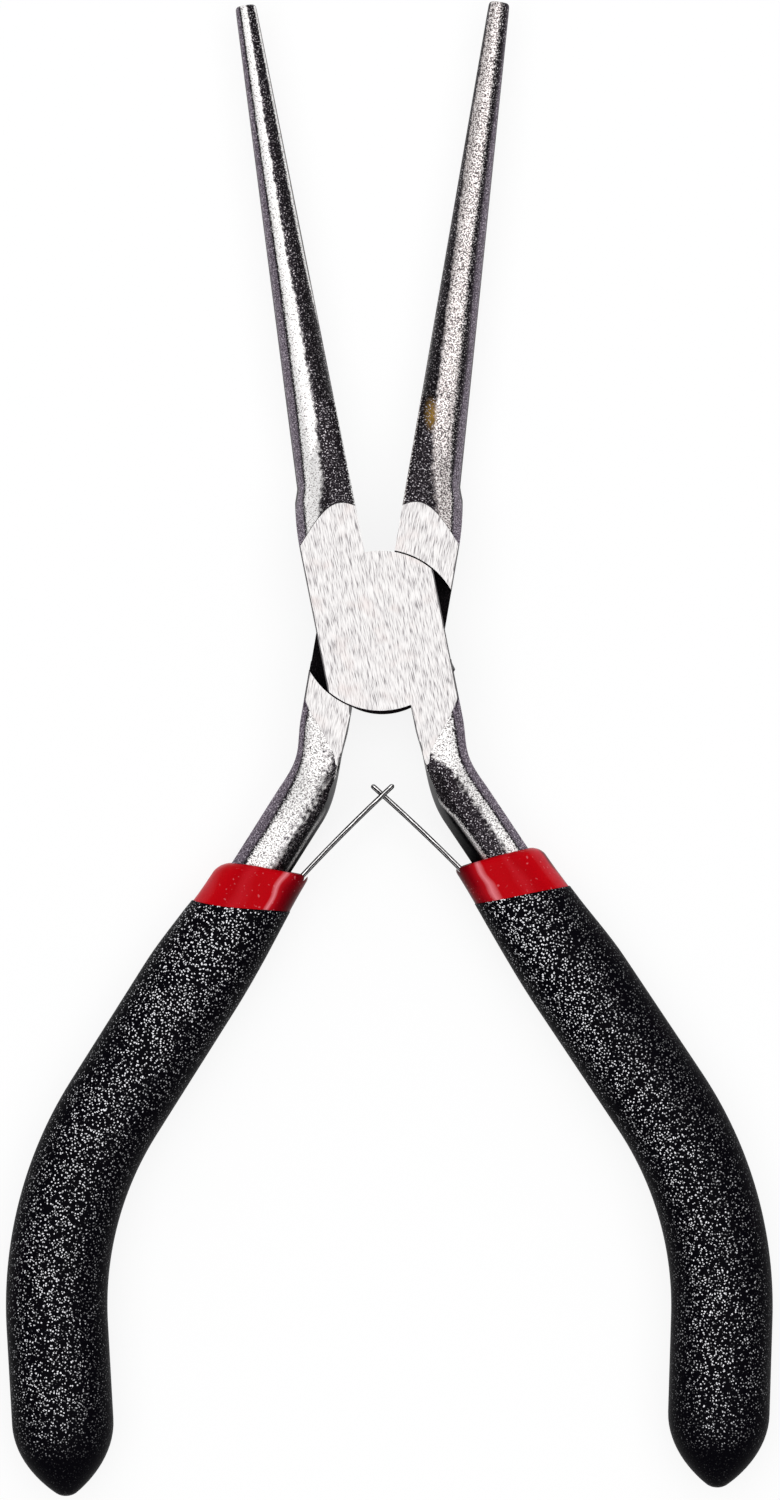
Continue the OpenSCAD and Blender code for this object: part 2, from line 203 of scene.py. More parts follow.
def soft_lamp(name, location, size_x, size_y):
    """A rectangular lamp, aimed at the joint."""
    data = bpy.data.lights.new(name, "AREA")
    data.shape = "RECTANGLE"
    data.size, data.size_y = size_x, size_y
    data.energy = LAMP_RADIANCE * math.pi * size_x * size_y
    lamp = bpy.data.objects.new(name, data)
    lamp.location = location
    lamp.rotation_euler = (Vector(location)).to_track_quat("Z", "Y").to_euler()
    lamp.visible_camera = False
    scene.collection.objects.link(lamp)


soft_lamp("overhead_softbox", (0, 0, LAMP_HEIGHT), LAMP_SIZE, LAMP_SIZE)
soft_lamp("far_softbox", FAR_LAMP_AT, *FAR_LAMP_SIZE)
print("softbox half angle:", round(math.degrees(math.atan(LAMP_SIZE / 2 / LAMP_HEIGHT)), 1), "degrees")

# %% [markdown]
# ## Steel: where a point lies, and its grain
# Plier halves are drop forged from carbon steel, blasted, polished lightly along the jaws and shanks, and ground
# flat through the joint, so one piece has several finishes, and painted highlights, reflections and shade lie
# over them. Their borders cross its faces, so they aren't a material each. One material tells them apart by
# height, by the way that the surface faces, and by a share from 0 on the outer side of a half to 1 on its inner
# side, which each mesh stores.

# %% Steel: where a point lies, and its grain
LAP_R = 7.7                # radius of the lap disc, in mm
FLAT_DEPTH = 0.012 * MM    # what lies less deep than this is on the ground flats
GRIT = 0.14 * MM           # grain of the blasted steel. The real 0.05 mm would be too fine to see


def steel_places(add, turn, grain_shift):
    """Where a point lies on a half that is turned by so much, and the grain there, at three sizes."""
    coords = add("TexCoord")
    on = SimpleNamespace(place=(coords, "Object"))
    on.share = (add("Attribute", attribute_name="share"), "Fac")
    spot = add("SeparateXYZ", [on.place])
    facing = add("SeparateXYZ", [(coords, "Normal")])
    on.upright = add("Math.ABSOLUTE", [(facing, "Z")])
    height = add("Math.SUBTRACT", [(spot, "Z"), JOINT_T / 2])
    on.height = add("Math.ABSOLUTE", [height])
    on.ground = add("Math.GREATER_THAN", [on.height, JOINT_T / 2 - FLAT_DEPTH])
    from_pivot = add("VectorMath.MULTIPLY", [on.place, (1, 1, 0)])
    on.from_pivot = add("VectorMath.LENGTH", [from_pivot])
    along_half = add("VectorRotate", {"Vector": on.place, "Angle": -turn}, rotation_type="Z_AXIS")
    on.across_along = add("SeparateXYZ", [along_half])
    on.jaw = add("Math.GREATER_THAN", [(on.across_along, "Y"), 0.0])
    on.moved = add("VectorMath.ADD", [along_half, (grain_shift, 0, 0)])
    on.grit, on.coarse, on.cloud = (
        add("TexNoise", {"Vector": on.moved, "Scale": 1 / size, "Detail": detail})
        for size, detail in ((GRIT, 1.0), (3 * GRIT, 2.0), (18 * GRIT, 2.0)))
    return on


print("joint", round(JOINT_T / MM, 2), "mm thick, grain", round(GRIT / MM, 2), "mm")

# %% [markdown]
# ## Steel: bright bands
# The bright crest of a jaw or shank and the dark beside it are painted reflections of the lamps and the walls.
# From its outer side inwards, each half has a painted purplish grey reflection on its side, a dark line, a
# painted highlight on its crest, and dark scale with painted shade. The share tells how far across a point lies.
# The grain frays the bands' edges.

# %% Steel: bright bands
# Shares at which the painted reflection bands end or start. Each edge is a short ramp
SIDE_ENDS, CREST_STARTS, CREST_ENDS = (0.17, 0.20), (0.22, 0.26), (0.545, 0.59)
RIM_HIGHLIGHT_STARTS, WALL_STARTS = (0.905, 0.93), (0.95, 0.965)
JAW_FRAY = 0.05      # how far, as a share, the grain frays the inner edge of a jaw's crest
# Colours of the painted reflection on a half's side and of the painted highlight on a shank's crest
SIDE_REFLECTION_STOPS = [(0.34, "#3c343d"), (0.50, "#6e6470"), (0.62, "#9b919d"), (0.74, "#d0c8d1")]
SHANK_HIGHLIGHT_STOPS = [(0.34, "#4a4446"), (0.42, "#b9b5b4"), (0.52, "#e9e7e5"), (0.62, "#f8f6f5")]


def painted_reflection_bands(add, on, crest_highlight_stops, shank_fray):
    """Layers of how much each painted reflection band covers and its colour, and how much is painted bright.
    A Map Range node takes a value, the range that it comes from and the range that it goes to."""
    ragged = add("MapRange", [on.grit, 0.3, 0.7, -1.0, 1.0], clamp=False)
    crisp = add("Math.MULTIPLY_ADD", [ragged, 0.02, on.share])
    frayed = add("Mix", [0.5, on.coarse, on.grit], data_type="FLOAT")
    frayed = add("MapRange", [frayed, 0.35, 0.65, -1.0, 1.0], clamp=False)
    fray = add("MapRange", [on.jaw, 0.0, 1.0, shank_fray, JAW_FRAY])
    loose = add("Math.MULTIPLY_ADD", [frayed, fray, on.share])

    # The side's purplish grey is a painted reflection, and the crest and the inner rim get painted highlights
    side = add("MapRange", [crisp, *SIDE_ENDS, 1.0, 0.0])
    past_line = add("MapRange", [crisp, *CREST_STARTS])
    before_slope = add("MapRange", [loose, *CREST_ENDS, 1.0, 0.0])
    crest_highlight = add("Math.MULTIPLY", [past_line, before_slope])
    rim_highlight = add("MapRange", [crisp, *RIM_HIGHLIGHT_STARTS])
    painted_bright = add("Math.MAXIMUM", [crest_highlight, rim_highlight])

    side_reflection_colour, jaw_highlight_colour, shank_highlight_colour = (
        add("ValToRGB", [on.grit], stops=stops) for stops in (SIDE_REFLECTION_STOPS, crest_highlight_stops, SHANK_HIGHLIGHT_STOPS))
    crest_highlight_colour = add("Mix", [on.jaw, shank_highlight_colour, jaw_highlight_colour], data_type="RGBA")
    return [(side, side_reflection_colour), (crest_highlight, crest_highlight_colour), (rim_highlight, crest_highlight_colour)], painted_bright


print("a jaw's crest ends between the shares", CREST_ENDS)

# %% [markdown]
# ## Steel: dark parts
# Upright walls are painted black, as painted shade. Where the edge of a flat leans over, a thin dark line of
# painted shade is drawn, and the recess between the halves round the pivot is painted dark as painted shade. The
# lines could be bevels, but are as fine as a hair, so they are part of the painted colour.

# %% Steel: dark parts
EDGE_DEPTH = 0.07 * MM     # how deep the leaning edge of a flat goes
LAP_SIDE_X = 5.98 * MM     # the side of the lap, from the centre line of a half
GAP_SHADE_DEPTH = 0.2 * MM       # the painted shade between the halves shows from this far below the flats
EDGE_DARKNESS = 0.85


def painted_shade_parts(add, on, edge_strength):
    """How far a point belongs to the painted shade on the walls, to the painted dark lines and to the painted
    shade between the halves round the pivot.
    """
    # Upright walls and the shank's inner wall are painted black as shade
    upright_shade = add("MapRange", [on.upright, 0.22, 0.30, 1.0, 0.0])
    inner_wall_shade = add("MapRange", [on.share, *WALL_STARTS])
    black = add("Math.MAXIMUM", [upright_shade, inner_wall_shade])

    # Thin dark lines of painted shade go at leaning edges, along the lap's sides and at the shank's inner edge
    edge = add("Math.GREATER_THAN", [on.height, JOINT_T / 2 - EDGE_DEPTH])
    leaning = add("Math.LESS_THAN", [on.upright, 0.955])
    not_ground = add("Math.SUBTRACT", [1.0, on.ground])
    sideways = add("Math.ABSOLUTE", [(on.across_along, "X")])
    lap_side = add("Math.GREATER_THAN", [sideways, LAP_SIDE_X])
    off_disc = add("Math.GREATER_THAN", [(on.from_pivot, "Value"), (LAP_R + 0.1) * MM])
    on_shank = add("Math.SUBTRACT", [off_disc, on.jaw], use_clamp=True)
    # The recess between the halves round the pivot is painted dark, as painted shade
    below_flats = add("Math.LESS_THAN", [on.height, JOINT_T / 2 - GAP_SHADE_DEPTH])
    near_pivot = add("Math.LESS_THAN", [(on.from_pivot, "Value"), (LAP_R + 1.6) * MM])

    # Each of these is where all that it names holds at once
    products = []
    for first, *others in ((edge, leaning, edge_strength, not_ground), (lap_side, on.ground),
                           (inner_wall_shade, on_shank, on.ground), (below_flats, near_pivot)):
        for other in others:
            first = add("Math.MULTIPLY", [first, other])
        products.append(first)
    line, *more_lines, gap_shade = products
    for other in more_lines:
        line = add("Math.MAXIMUM", [line, other])
    line = add("Math.MULTIPLY", [line, EDGE_DARKNESS])
    return black, line, gap_shade


# The oil that this names is painted shade between the halves
print("oil from", round(GAP_SHADE_DEPTH / MM, 2), "mm below the flats, out to", LAP_R + 1.6, "mm from the pivot")

# %% [markdown]
# ## Steel: the ground flats and a spot of tarnish
# A surface grinder leaves straight fine lines along each half, so the flats look paler and duller than
# polished steel. Noise that is stretched along the half gives such lines. Some 20 mm up one jaw, the steel
# has begun to tarnish in an oval spot.

# %% Steel: the ground flats and a spot of tarnish
LINE_W = 0.09 * MM         # width of a grinding line. The real 0.03 mm is too fine to show, so it is coarser
LINE_L = 1.1 * MM          # length of a grinding line
TARNISH_W, TARNISH_L = 0.8 * MM, 1.9 * MM
WARM_GREY = "#b3a9a6"
FLAT_STOPS = [(0.32, "#6b6869"), (0.44, "#a5a2a2"), (0.54, "#b6b4b3"), (0.70, "#bdbbba")]


def ground_flats(add, on):
    """The grinding lines, and their colour with patches of a warmer grey."""
    stretched = add("VectorMath.MULTIPLY", [on.moved, (1 / LINE_W, 1 / LINE_L, 1 / LINE_L)])
    lines = add("TexNoise", {"Vector": stretched, "Scale": 1.0, "Detail": 2.0})
    colour = add("ValToRGB", [lines], stops=FLAT_STOPS)
    warm = add("MapRange", [on.cloud, 0.55, 0.75, 0.0, 0.5])
    return lines, add("Mix", [warm, colour, linear(WARM_GREY)], data_type="RGBA")


def tarnish_spot(add, on, middle):
    """How tarnished a point is: an oval spot, pitted by the grain."""
    away = add("VectorMath.SUBTRACT", [on.place, middle])
    away = add("VectorMath.MULTIPLY", [away, (1 / TARNISH_W, 1 / TARNISH_L, 0)])
    away = add("VectorMath.LENGTH", [away])
    spot = add("MapRange", [(away, "Value"), 0.2, 1.0, 0.8, 0.0])
    pitted = add("MapRange", [on.grit, 0.4, 0.6, 1.0, 0.2])
    return add("Math.MULTIPLY", [spot, pitted])


print("grinding lines", round(LINE_W / MM, 2), "by", round(LINE_L / MM, 1), "mm")

# %% [markdown]
# ## Steel: laying the finishes over one another
# The layers lie over one another: the dark base with its painted shade first, then the painted reflection bands,
# the painted shade on the walls, the ground flats, the thin painted dark lines, the tarnish and last the painted
# shade between the halves. Each is one Mix node, so a loop lays them all. Blasted steel scatters light almost
# like paint, so only the flats, the walls and the shaded recess between the halves are fully metallic, and
# elsewhere the painted light and shade show as drawn.

# %% Steel: laying the finishes over one another
# The dark base is painted shade with pale grains, and the walls and the recess between the halves are painted
# shade too
BASE_SHADE_STOPS = [(0.48, "#141014"), (0.59, "#2f2a2f"), (0.66, "#8c878b"), (0.73, "#e4dfe2")]
WALL_SHADE_STOPS = [(0.45, "#0e0c0f"), (0.75, "#3a353a")]
GAP_SHADE_STOPS = [(0.5, "#080708"), (0.75, "#221e20")]
# The colour of the thin painted dark lines, and of a real tarnish
EDGE_SHADE_COLOUR, TARNISH_COLOUR = "#171518", "#8f6c22"


def forged_steel(name, turn, grain_shift, crest_highlight_stops, edge_strength, shank_fray, tarnish_at=None):
    """Forged carbon steel, blasted, polished and ground. It gives the eye a painted highlight on a grainy crest,
    beside painted shade.
    """
    material, add = new_material(name)
    on = steel_places(add, turn, grain_shift)
    painted_bands, painted_bright = painted_reflection_bands(add, on, crest_highlight_stops, shank_fray)
    black, line, gap_shade = painted_shade_parts(add, on, edge_strength)
    lines, flat_colour = ground_flats(add, on)
    colour, wall_shade_colour, gap_shade_colour = (
        add("ValToRGB", [on.grit], stops=stops) for stops in (BASE_SHADE_STOPS, WALL_SHADE_STOPS, GAP_SHADE_STOPS))
    layers = painted_bands + [(black, wall_shade_colour), (on.ground, flat_colour), (line, linear(EDGE_SHADE_COLOUR))]
    if tarnish_at:
        layers.append((tarnish_spot(add, on, tarnish_at), linear(TARNISH_COLOUR)))
    for cover, shade in layers + [(gap_shade, gap_shade_colour)]:
        colour = add("Mix", [cover, colour, shade], data_type="RGBA")

    metal = on.ground
    for part in (black, gap_shade, add("MapRange", [painted_bright, 0.0, 1.0, 0.88, 0.5])):
        metal = add("Math.MAXIMUM", [metal, part])
    rough = add("MapRange", [on.ground, 0.0, 1.0, 0.5, 0.4])
    relief = add("Mix", [on.ground, on.grit, lines], data_type="FLOAT")
    bump = add("Bump", {"Height": relief, "Strength": 0.4, "Distance": 0.03 * MM})
    shader = add("BsdfPrincipled", {
        "Base Color": colour, "Metallic": metal, "Roughness": rough, "Normal": bump})
    add("OutputMaterial", {"Surface": shader})
    return material


OPEN_ANGLE = math.radians(21)
# Each side gets its own colours for the painted highlight on its jaw's crest, and its own strength of the painted
# dark lines
steels = {
    "front": forged_steel("satin_forged_carbon_steel_front", OPEN_ANGLE / 2, 0.0,
                          [(0.30, "#6a6466"), (0.40, "#dcd9d7"), (0.50, "#f2f0ee"), (0.60, "#fbfaf9")],
                          0.85, 0.09),
    "back": forged_steel("satin_forged_carbon_steel_back", -OPEN_ANGLE / 2, 0.31,
                         [(0.36, "#3c3638"), (0.46, "#9b9190"), (0.54, "#e2dad7"), (0.64, "#fbf7f5")],
                         0.35, 0.19, (5.15 * MM, 20.9 * MM, 0)),
}
for material in steels.values():
    print(material.name, len(material.node_tree.nodes), "nodes")

# %% [markdown]
# ## The centre line of a half
# Both halves are the same forging, and one is turned over, so a half is built once, in the closed position.
# Its centre line is walked downwards from the joint: straight, bent outward, straight, curved back for the
# palm, straight. Walking along legs keeps each bend a true arc, as a bending die leaves it.

# %% Centre line of a half
SHANK_TOP_Y, SHANK_X = 4, 3.8          # where the centre line starts below the pivot, in mm
BEND_Y, BEND_R, SPLAY = 15.6, 14, 22.5   # the bend outward, and its turn in degrees
GRIP_RUN, PALM_R, PALM_TURN, TAIL_RUN = 36.9, 36, 35.5, 16.8
bend_tangent = BEND_R * math.tan(math.radians(SPLAY / 2))
LEGS = [
    (BEND_Y - SHANK_TOP_Y - bend_tangent, 0),
    (BEND_R * math.radians(SPLAY), SPLAY),
    (GRIP_RUN - bend_tangent, 0),
    (PALM_R * math.radians(PALM_TURN), -PALM_TURN),
    (TAIL_RUN, 0),
]
waist_s = LEGS[0][0]
bend_end_s = waist_s + LEGS[1][0]
path_length = sum(leg[0] for leg in LEGS)


def walk(legs, pose, s):
    """(x, y, heading in degrees) after a distance s along legs of (length, turn)."""
    x, y, heading = pose
    for i, (length, turn) in enumerate(legs):
        step = s if i == len(legs) - 1 else min(s, length)
        turned = turn * step / length
        h, h2 = math.radians(heading), math.radians(heading + turned)
        if turn == 0:
            x, y = x + step * math.sin(h), y - step * math.cos(h)
        else:
            r = length / math.radians(turn)
            x, y = x + r * (math.cos(h) - math.cos(h2)), y - r * (math.sin(h2) - math.sin(h))
        heading += turned
        s -= step
        if s <= 0:
            break
    return x, y, heading


def half_pose(s):
    return walk(LEGS, (SHANK_X, -SHANK_TOP_Y, 0), s)


def path_at_y(y):
    """The distance along the centre line at which the straight leg past the bend is y below the pivot."""
    splay = math.cos(math.radians(SPLAY))
    return bend_end_s + (y - BEND_Y - bend_tangent * splay) / splay


print("centre line:", round(path_length, 1), "mm")

# %% [markdown]
# ## Solids from sections
# Every piece here is a closed skin through a row of sections with equal numbers of points, or two such
# solids joined or cut. The boolean solver is the one that needs closed solids, which leaves closed solids
# again.

# %% Solids from sections
def eased(table, s):
    """A value from rows of (s, value), eased between them."""
    values = [row[1] for row in table]
    if s <= table[0][0]:
        return values[0]
    for (s0, v0), (s1, v1) in zip(table, table[1:]):
        if s < s1:
            t = (s - s0) / (s1 - s0)
            return v0 + (v1 - v0) * t * t * (3 - 2 * t)
    return values[-1]


def steps(start, stop, gap):
    n = max(1, math.ceil((stop - start) / gap))
    return [start + (stop - start) * i / n for i in range(n + 1)]


def solid(name, rings):
    """A closed mesh, in mm, through sections that have as many points each."""
    n = len(rings[0])
    points = [p for ring in rings for p in ring]
    faces = [list(range(n))[::-1], [(len(rings) - 1) * n + i for i in range(n)]]
    for r in range(len(rings) - 1):
        for i in range(n):
            a, b = r * n + i, r * n + (i + 1) % n
            faces.append((a, b, b + n, a + n))
    mesh = bpy.data.meshes.new(name)
    mesh.from_pydata(points, [], faces)
    mesh.validate()
    piece = bpy.data.objects.new(name, mesh)
    scene.collection.objects.link(piece)
    return piece


def prism(name, outline, low, high):
    return solid(name, [[(x, y, z) for x, y in outline] for z in (low, high)])


def turned_along(name, profile, axis_point, n=160):
    """A solid of revolution about a line along Y, from a profile of (radius, y)."""
    cx, cz = axis_point
    angles = [2 * math.pi * i / n for i in range(n)]
    return solid(name, [[(cx + radius * math.cos(a), y, cz - radius * math.sin(a)) for a in angles]
                        for radius, y in profile])


def turned_up(name, profile, n=96):
    """A solid of revolution about the pivot, from a profile of (radius, z)."""
    angles = [2 * math.pi * i / n for i in range(n)]
    return solid(name, [[(r * math.cos(a), r * math.sin(a), z) for a in angles] for r, z in profile])


def carve(piece, other, operation):
    """piece joined with, cut by or kept inside the other solid, which is used up."""
    modifier = piece.modifiers.new("carve", "BOOLEAN")
    modifier.object, modifier.operation, modifier.solver = other, operation, "MANIFOLD"
    graph = bpy.context.evaluated_depsgraph_get()
    mesh = bpy.data.meshes.new_from_object(piece.evaluated_get(graph))
    piece.modifiers.clear()
    piece.data = mesh
    bpy.data.objects.remove(other)
    return piece


print("steps of at most 0.4 from 0 to 1:", [round(s, 2) for s in steps(0, 1, 0.4)])

# %% [markdown]
# ## The shank of a forged half
# Below the joint the forging narrows, bends outward and changes from a flat bar to one with a broad worn
# chamfer on its inner side and drafted walls, so that it comes out of the die. Then the grip covers it.
# Tables of width, thickness and chamfer along the centre line give a section anywhere, and the skin runs
# through them.

# %% Shank
T, MID = JOINT_T / MM, JOINT_T / MM / 2
SHANK_HALF_W, SHANK_HALF_T = 2.65, 3.1     # inside the grip, in mm
RED_Y, BLACK_Y = 24, 27.9      # how far below the pivot the red and the black coat start
FLAT_END_S = waist_s + 0.2     # where the ground flat gives way to the rounded shank
SHANK_TABLES = {
    "width": [(0, 4.7), (waist_s - 3, 4.7), (waist_s, 4.3), (bend_end_s, 2 * SHANK_HALF_W)],
    "thickness": [(0, 10), (FLAT_END_S - 6, 10), (FLAT_END_S, 9), (bend_end_s + 3, 2 * SHANK_HALF_T)],
    "slope": [(0, 0), (FLAT_END_S, 0), (FLAT_END_S + 2.2, 1)],
    "draft": [(0, 0), (FLAT_END_S, 0), (FLAT_END_S + 3, 0.5), (bend_end_s, 0.7), (path_at_y(RED_Y), 0.85),
              (path_at_y(RED_Y) + 3, 0)],
    "chamfer": [(0, 0), (FLAT_END_S - 6, 0), (FLAT_END_S - 2, 1)],
}
CROWN = 0.5        # how much lower the top is on its outer side
NO_CHAMFER = 0.04  # keeps the points of a section apart where it has no chamfer
shank_length = path_length - 6     # it ends short of the end of the grip


def stand(section, pose, angle, shift=0.0):
    """A section of (across, up), stood upright across the centre line."""
    x, y, heading = pose
    h, a = math.radians(heading), math.radians(angle)
    return [(x - shift * math.cos(h) + u * math.cos(a), y - shift * math.sin(h) + u * math.sin(a), MID + v)
            for u, v in section]


def shank_ring(s):
    width, thickness, slope, draft, chamfer = (eased(table, s) for table in SHANK_TABLES.values())
    a, b, wall = width / 2, thickness / 2, 0.02 + draft
    in_w, in_t = max(NO_CHAMFER, 1.9 * slope), max(NO_CHAMFER, 1.1 * slope)
    out_w, out_t = max(NO_CHAMFER, 0.8 * chamfer), max(NO_CHAMFER, 0.9 * chamfer)
    top = [(-a + wall * t, (b - in_t) * t) for t in (0.25, 0.5, 0.75)]
    top += [(-a + wall + (in_w - wall) * t, b - in_t * (1 - t) ** 1.6)
            for t in (0, 0.15, 0.3, 0.45, 0.6, 0.8)]
    crest_from, crest_to = -a + in_w, a - out_w
    top += [(crest_from + (crest_to - crest_from) * t, b - CROWN * t * t) for t in np.linspace(0, 1, 13)]
    top += [(crest_to + out_w * t, b - CROWN - out_t * t ** 1.3) for t in (0.2, 0.4, 0.6, 0.8, 1)]
    section = [(-a, 0)] + top + [(u, -v) for u, v in reversed(top)]
    pose = half_pose(s)
    return stand(section, pose, pose[2])


def shank_solid():
    stations = steps(0, bend_end_s + 3, 0.4) + steps(bend_end_s + 4.5, shank_length, 1.5)
    return solid("shank", [shank_ring(s) for s in stations])


print("shank:", round(shank_length, 1), "mm long, with", len(shank_ring(0)), "points in a section")

# %% [markdown]
# ## The jaw and its shoulder
# Each jaw is a cone that leans until its side lies along the closing line. It swells into the shoulder in a
# sweep, and the shoulder's flank is an arc. A smith would turn the cone and file the flank, so here the
# sweep is a solid of revolution, kept inside a prism with the flank's outline.

# %% Jaw and shoulder
JAW_LENGTH, JAW_TIP_R, JAW_ROOT_R, JAW_ROOT_Y = 61.9, 1.0, 2.5, 18.0
JAW_CLEARANCE = 0.03       # from the closing line
JAW_BURIED, TIP_EDGE_R = 8, 0.4
NECK_W = 12.2
SWEEP_R, SWEEP_X, THIN_Y = 25, 1.6, 23   # the sweep's radius, its axis, and where it meets the jaw
FLANK_R, FLANK_Y = 28, 9


def jaw_radius(y):
    return JAW_ROOT_R + (JAW_TIP_R - JAW_ROOT_R) * (y - JAW_ROOT_Y) / (JAW_LENGTH - JAW_ROOT_Y)


def jaw_solid():
    lean = math.atan((JAW_ROOT_R - JAW_TIP_R) / (JAW_LENGTH - JAW_ROOT_Y))
    length = (JAW_LENGTH - JAW_ROOT_Y) / math.cos(lean) + JAW_BURIED
    base_r = JAW_ROOT_R + JAW_BURIED * math.tan(lean)
    profile = [(base_r + (JAW_TIP_R - base_r) * t, length * t)
               for t in np.linspace(0, 1 - TIP_EDGE_R / length, 60)]
    profile = profile[:-1] + [
        (JAW_TIP_R - TIP_EDGE_R + TIP_EDGE_R * math.cos(a), length - TIP_EDGE_R + TIP_EDGE_R * math.sin(a))
        for a in np.radians((0, 22.5, 45, 67.5, 90))]
    piece = turned_along("jaw", profile, (0, 0))
    place = (Matrix.Translation((-JAW_CLEARANCE - base_r * math.cos(lean), JAW_ROOT_Y - JAW_BURIED, MID))
             @ Matrix.Rotation(-lean, 4, "Z"))
    piece.data.transform(place)
    return piece


def shoulder_solid():
    profile = [(jaw_radius(THIN_Y) + SWEEP_R - math.sqrt(SWEEP_R ** 2 - (THIN_Y - y) ** 2), y)
               for y in np.linspace(LAP_R / 2 + 4.2, THIN_Y, 60)]
    profile = [(NECK_W, LAP_R / 2), (NECK_W, profile[0][1] - 0.01)] + profile
    piece = turned_along("shoulder", profile, (-SWEEP_X, MID), 240)
    flank = [(FLANK_R - NECK_W / 2 - FLANK_R * math.cos(a), FLANK_Y + FLANK_R * math.sin(a))
             for a in np.radians(np.linspace(0, 40, 81))]
    outline = [(-NECK_W / 2, 0), (-JAW_CLEARANCE, 0), (-JAW_CLEARANCE, flank[-1][1])]
    outline += [p for p in flank[::-1] if p[0] < -JAW_CLEARANCE]
    return carve(piece, prism("flank", outline, 0, T), "INTERSECT")


print("jaw: from", 2 * JAW_ROOT_R, "mm at its root to", 2 * JAW_TIP_R, "mm at its tip")

# %% [markdown]
# ## A forged half, and its rivet
# The joint is a lap: each half is milled to half its thickness round the pivot, and its disc lies in the
# room that the other half leaves. A rivet with a head at each end holds them, ground flush with the flats.
# A half is put together in the order of the work: shoulder and shank, the room for the other disc, its
# disc, the jaw.

# %% Forged half
LAP_GAP, RIM_GAP = 0.04, 0.15    # between the two discs, and round a disc's rim
RIVET_HEAD_R, RIVET_R, HEAD_T = 3, 2.2, 1.2


def circle(r, widest, n=256):
    """A circle of radius r about the pivot, cut off where it is wider than widest on either side."""
    return [(max(-widest, min(widest, r * math.cos(a))), r * math.sin(a))
            for a in np.linspace(0, 2 * math.pi, n, endpoint=False)]


def forged_half():
    piece, shank = shoulder_solid(), shank_solid()
    carve(shank, prism("slab", [(-12, -150), (140, -150), (140, 0), (-12, 0)], 0, T), "INTERSECT")
    carve(piece, shank, "UNION")
    room_r = LAP_R + RIM_GAP
    carve(piece, prism("room", circle(room_r, room_r), -2, MID + LAP_GAP / 2), "DIFFERENCE")
    carve(piece, prism("disc", circle(LAP_R, NECK_W / 2), MID + LAP_GAP / 2, T), "UNION")
    return carve(piece, jaw_solid(), "UNION")


def rivet_solid():
    return turned_up("rivet", [
        (RIVET_HEAD_R, 0), (RIVET_R, HEAD_T), (RIVET_R, T - HEAD_T), (RIVET_HEAD_R, T)])


half = forged_half()
carve(half, rivet_solid(), "DIFFERENCE")
print("half:", len(half.data.vertices), "vertices", [round(d, 2) for d in half.dimensions], "mm")

# %% [markdown]
# ## Where each point lies across a half
# The painted reflection bands follow the forging's outline. Each point gets its share of the way from the outer
# side to the inner one, worked out from the values that shaped the half.

# %% Where each point lies across a half
PATH_S = np.arange(0, path_length, 0.1)
PATH = np.array([half_pose(s) for s in PATH_S])


def outer_edge(y):
    """How far out the jaw and its shoulder reach at a distance from the pivot, in mm."""
    jaw = JAW_CLEARANCE + 2 * jaw_radius(np.maximum(y, 12))
    flank = NECK_W / 2 - FLANK_R + np.sqrt(FLANK_R ** 2 - np.clip(y - FLANK_Y, 0, FLANK_R - 1) ** 2)
    thinned = np.clip(THIN_Y - y, 0, SWEEP_R - 1)
    swept = SWEEP_X + jaw_radius(THIN_Y) + SWEEP_R - np.sqrt(SWEEP_R ** 2 - thinned ** 2)
    return np.maximum(jaw, np.minimum(flank, swept))


def store(mesh, name, values):
    attribute = mesh.attributes.get(name) or mesh.attributes.new(name, "FLOAT", "POINT")
    attribute.data.foreach_set("value", np.asarray(values, np.float32))


def points_of(mesh):
    co = np.zeros(len(mesh.vertices) * 3, np.float32)
    mesh.vertices.foreach_get("co", co)
    return co.reshape(-1, 3).astype(float)


def beside(line, point):
    """The row of a line of (x, y, heading) that a point is nearest to, and how far to its right it lies."""
    i = int(np.argmin((line[:, 0] - point[0]) ** 2 + (line[:, 1] - point[1]) ** 2))
    h = math.radians(line[i, 2])
    return i, (point[0] - line[i, 0]) * math.cos(h) + (point[1] - line[i, 1]) * math.sin(h)


def measure_half(mesh):
    """For each point of a half, in mm: its share of the way from the outer side to the inner one."""
    co = points_of(mesh)
    share = 1 + (co[:, 0] + JAW_CLEARANCE) / (outer_edge(co[:, 1]) - JAW_CLEARANCE)
    for v in np.where(co[:, 1] < -SHANK_TOP_Y)[0]:
        # The shanks lie on the other side of the closing line from the jaws
        i, across = beside(PATH, co[v])
        share[v] = 1 - (0.5 + across / eased(SHANK_TABLES["width"], PATH_S[i]))
    return np.clip(share, 0, 1)


half_share = measure_half(half.data)
half_along = points_of(half.data)[:, 1]
print("measured", len(half_share), "points")

# %% [markdown]
# ## The bands of each half
# The halves lie at different angles to the lamps, so the painted reflection bands are broader on one than on the
# other. A table gives where they lie, and the stored shares are stretched until they fall on the marks that the
# material knows.

# %% Bands of each half
# The middle of each edge that the material draws: the side's end, the crest's two ends, the rim's two ends
BAND_MARKS = (0.185, 0.24, 0.565, 0.915, 0.955)
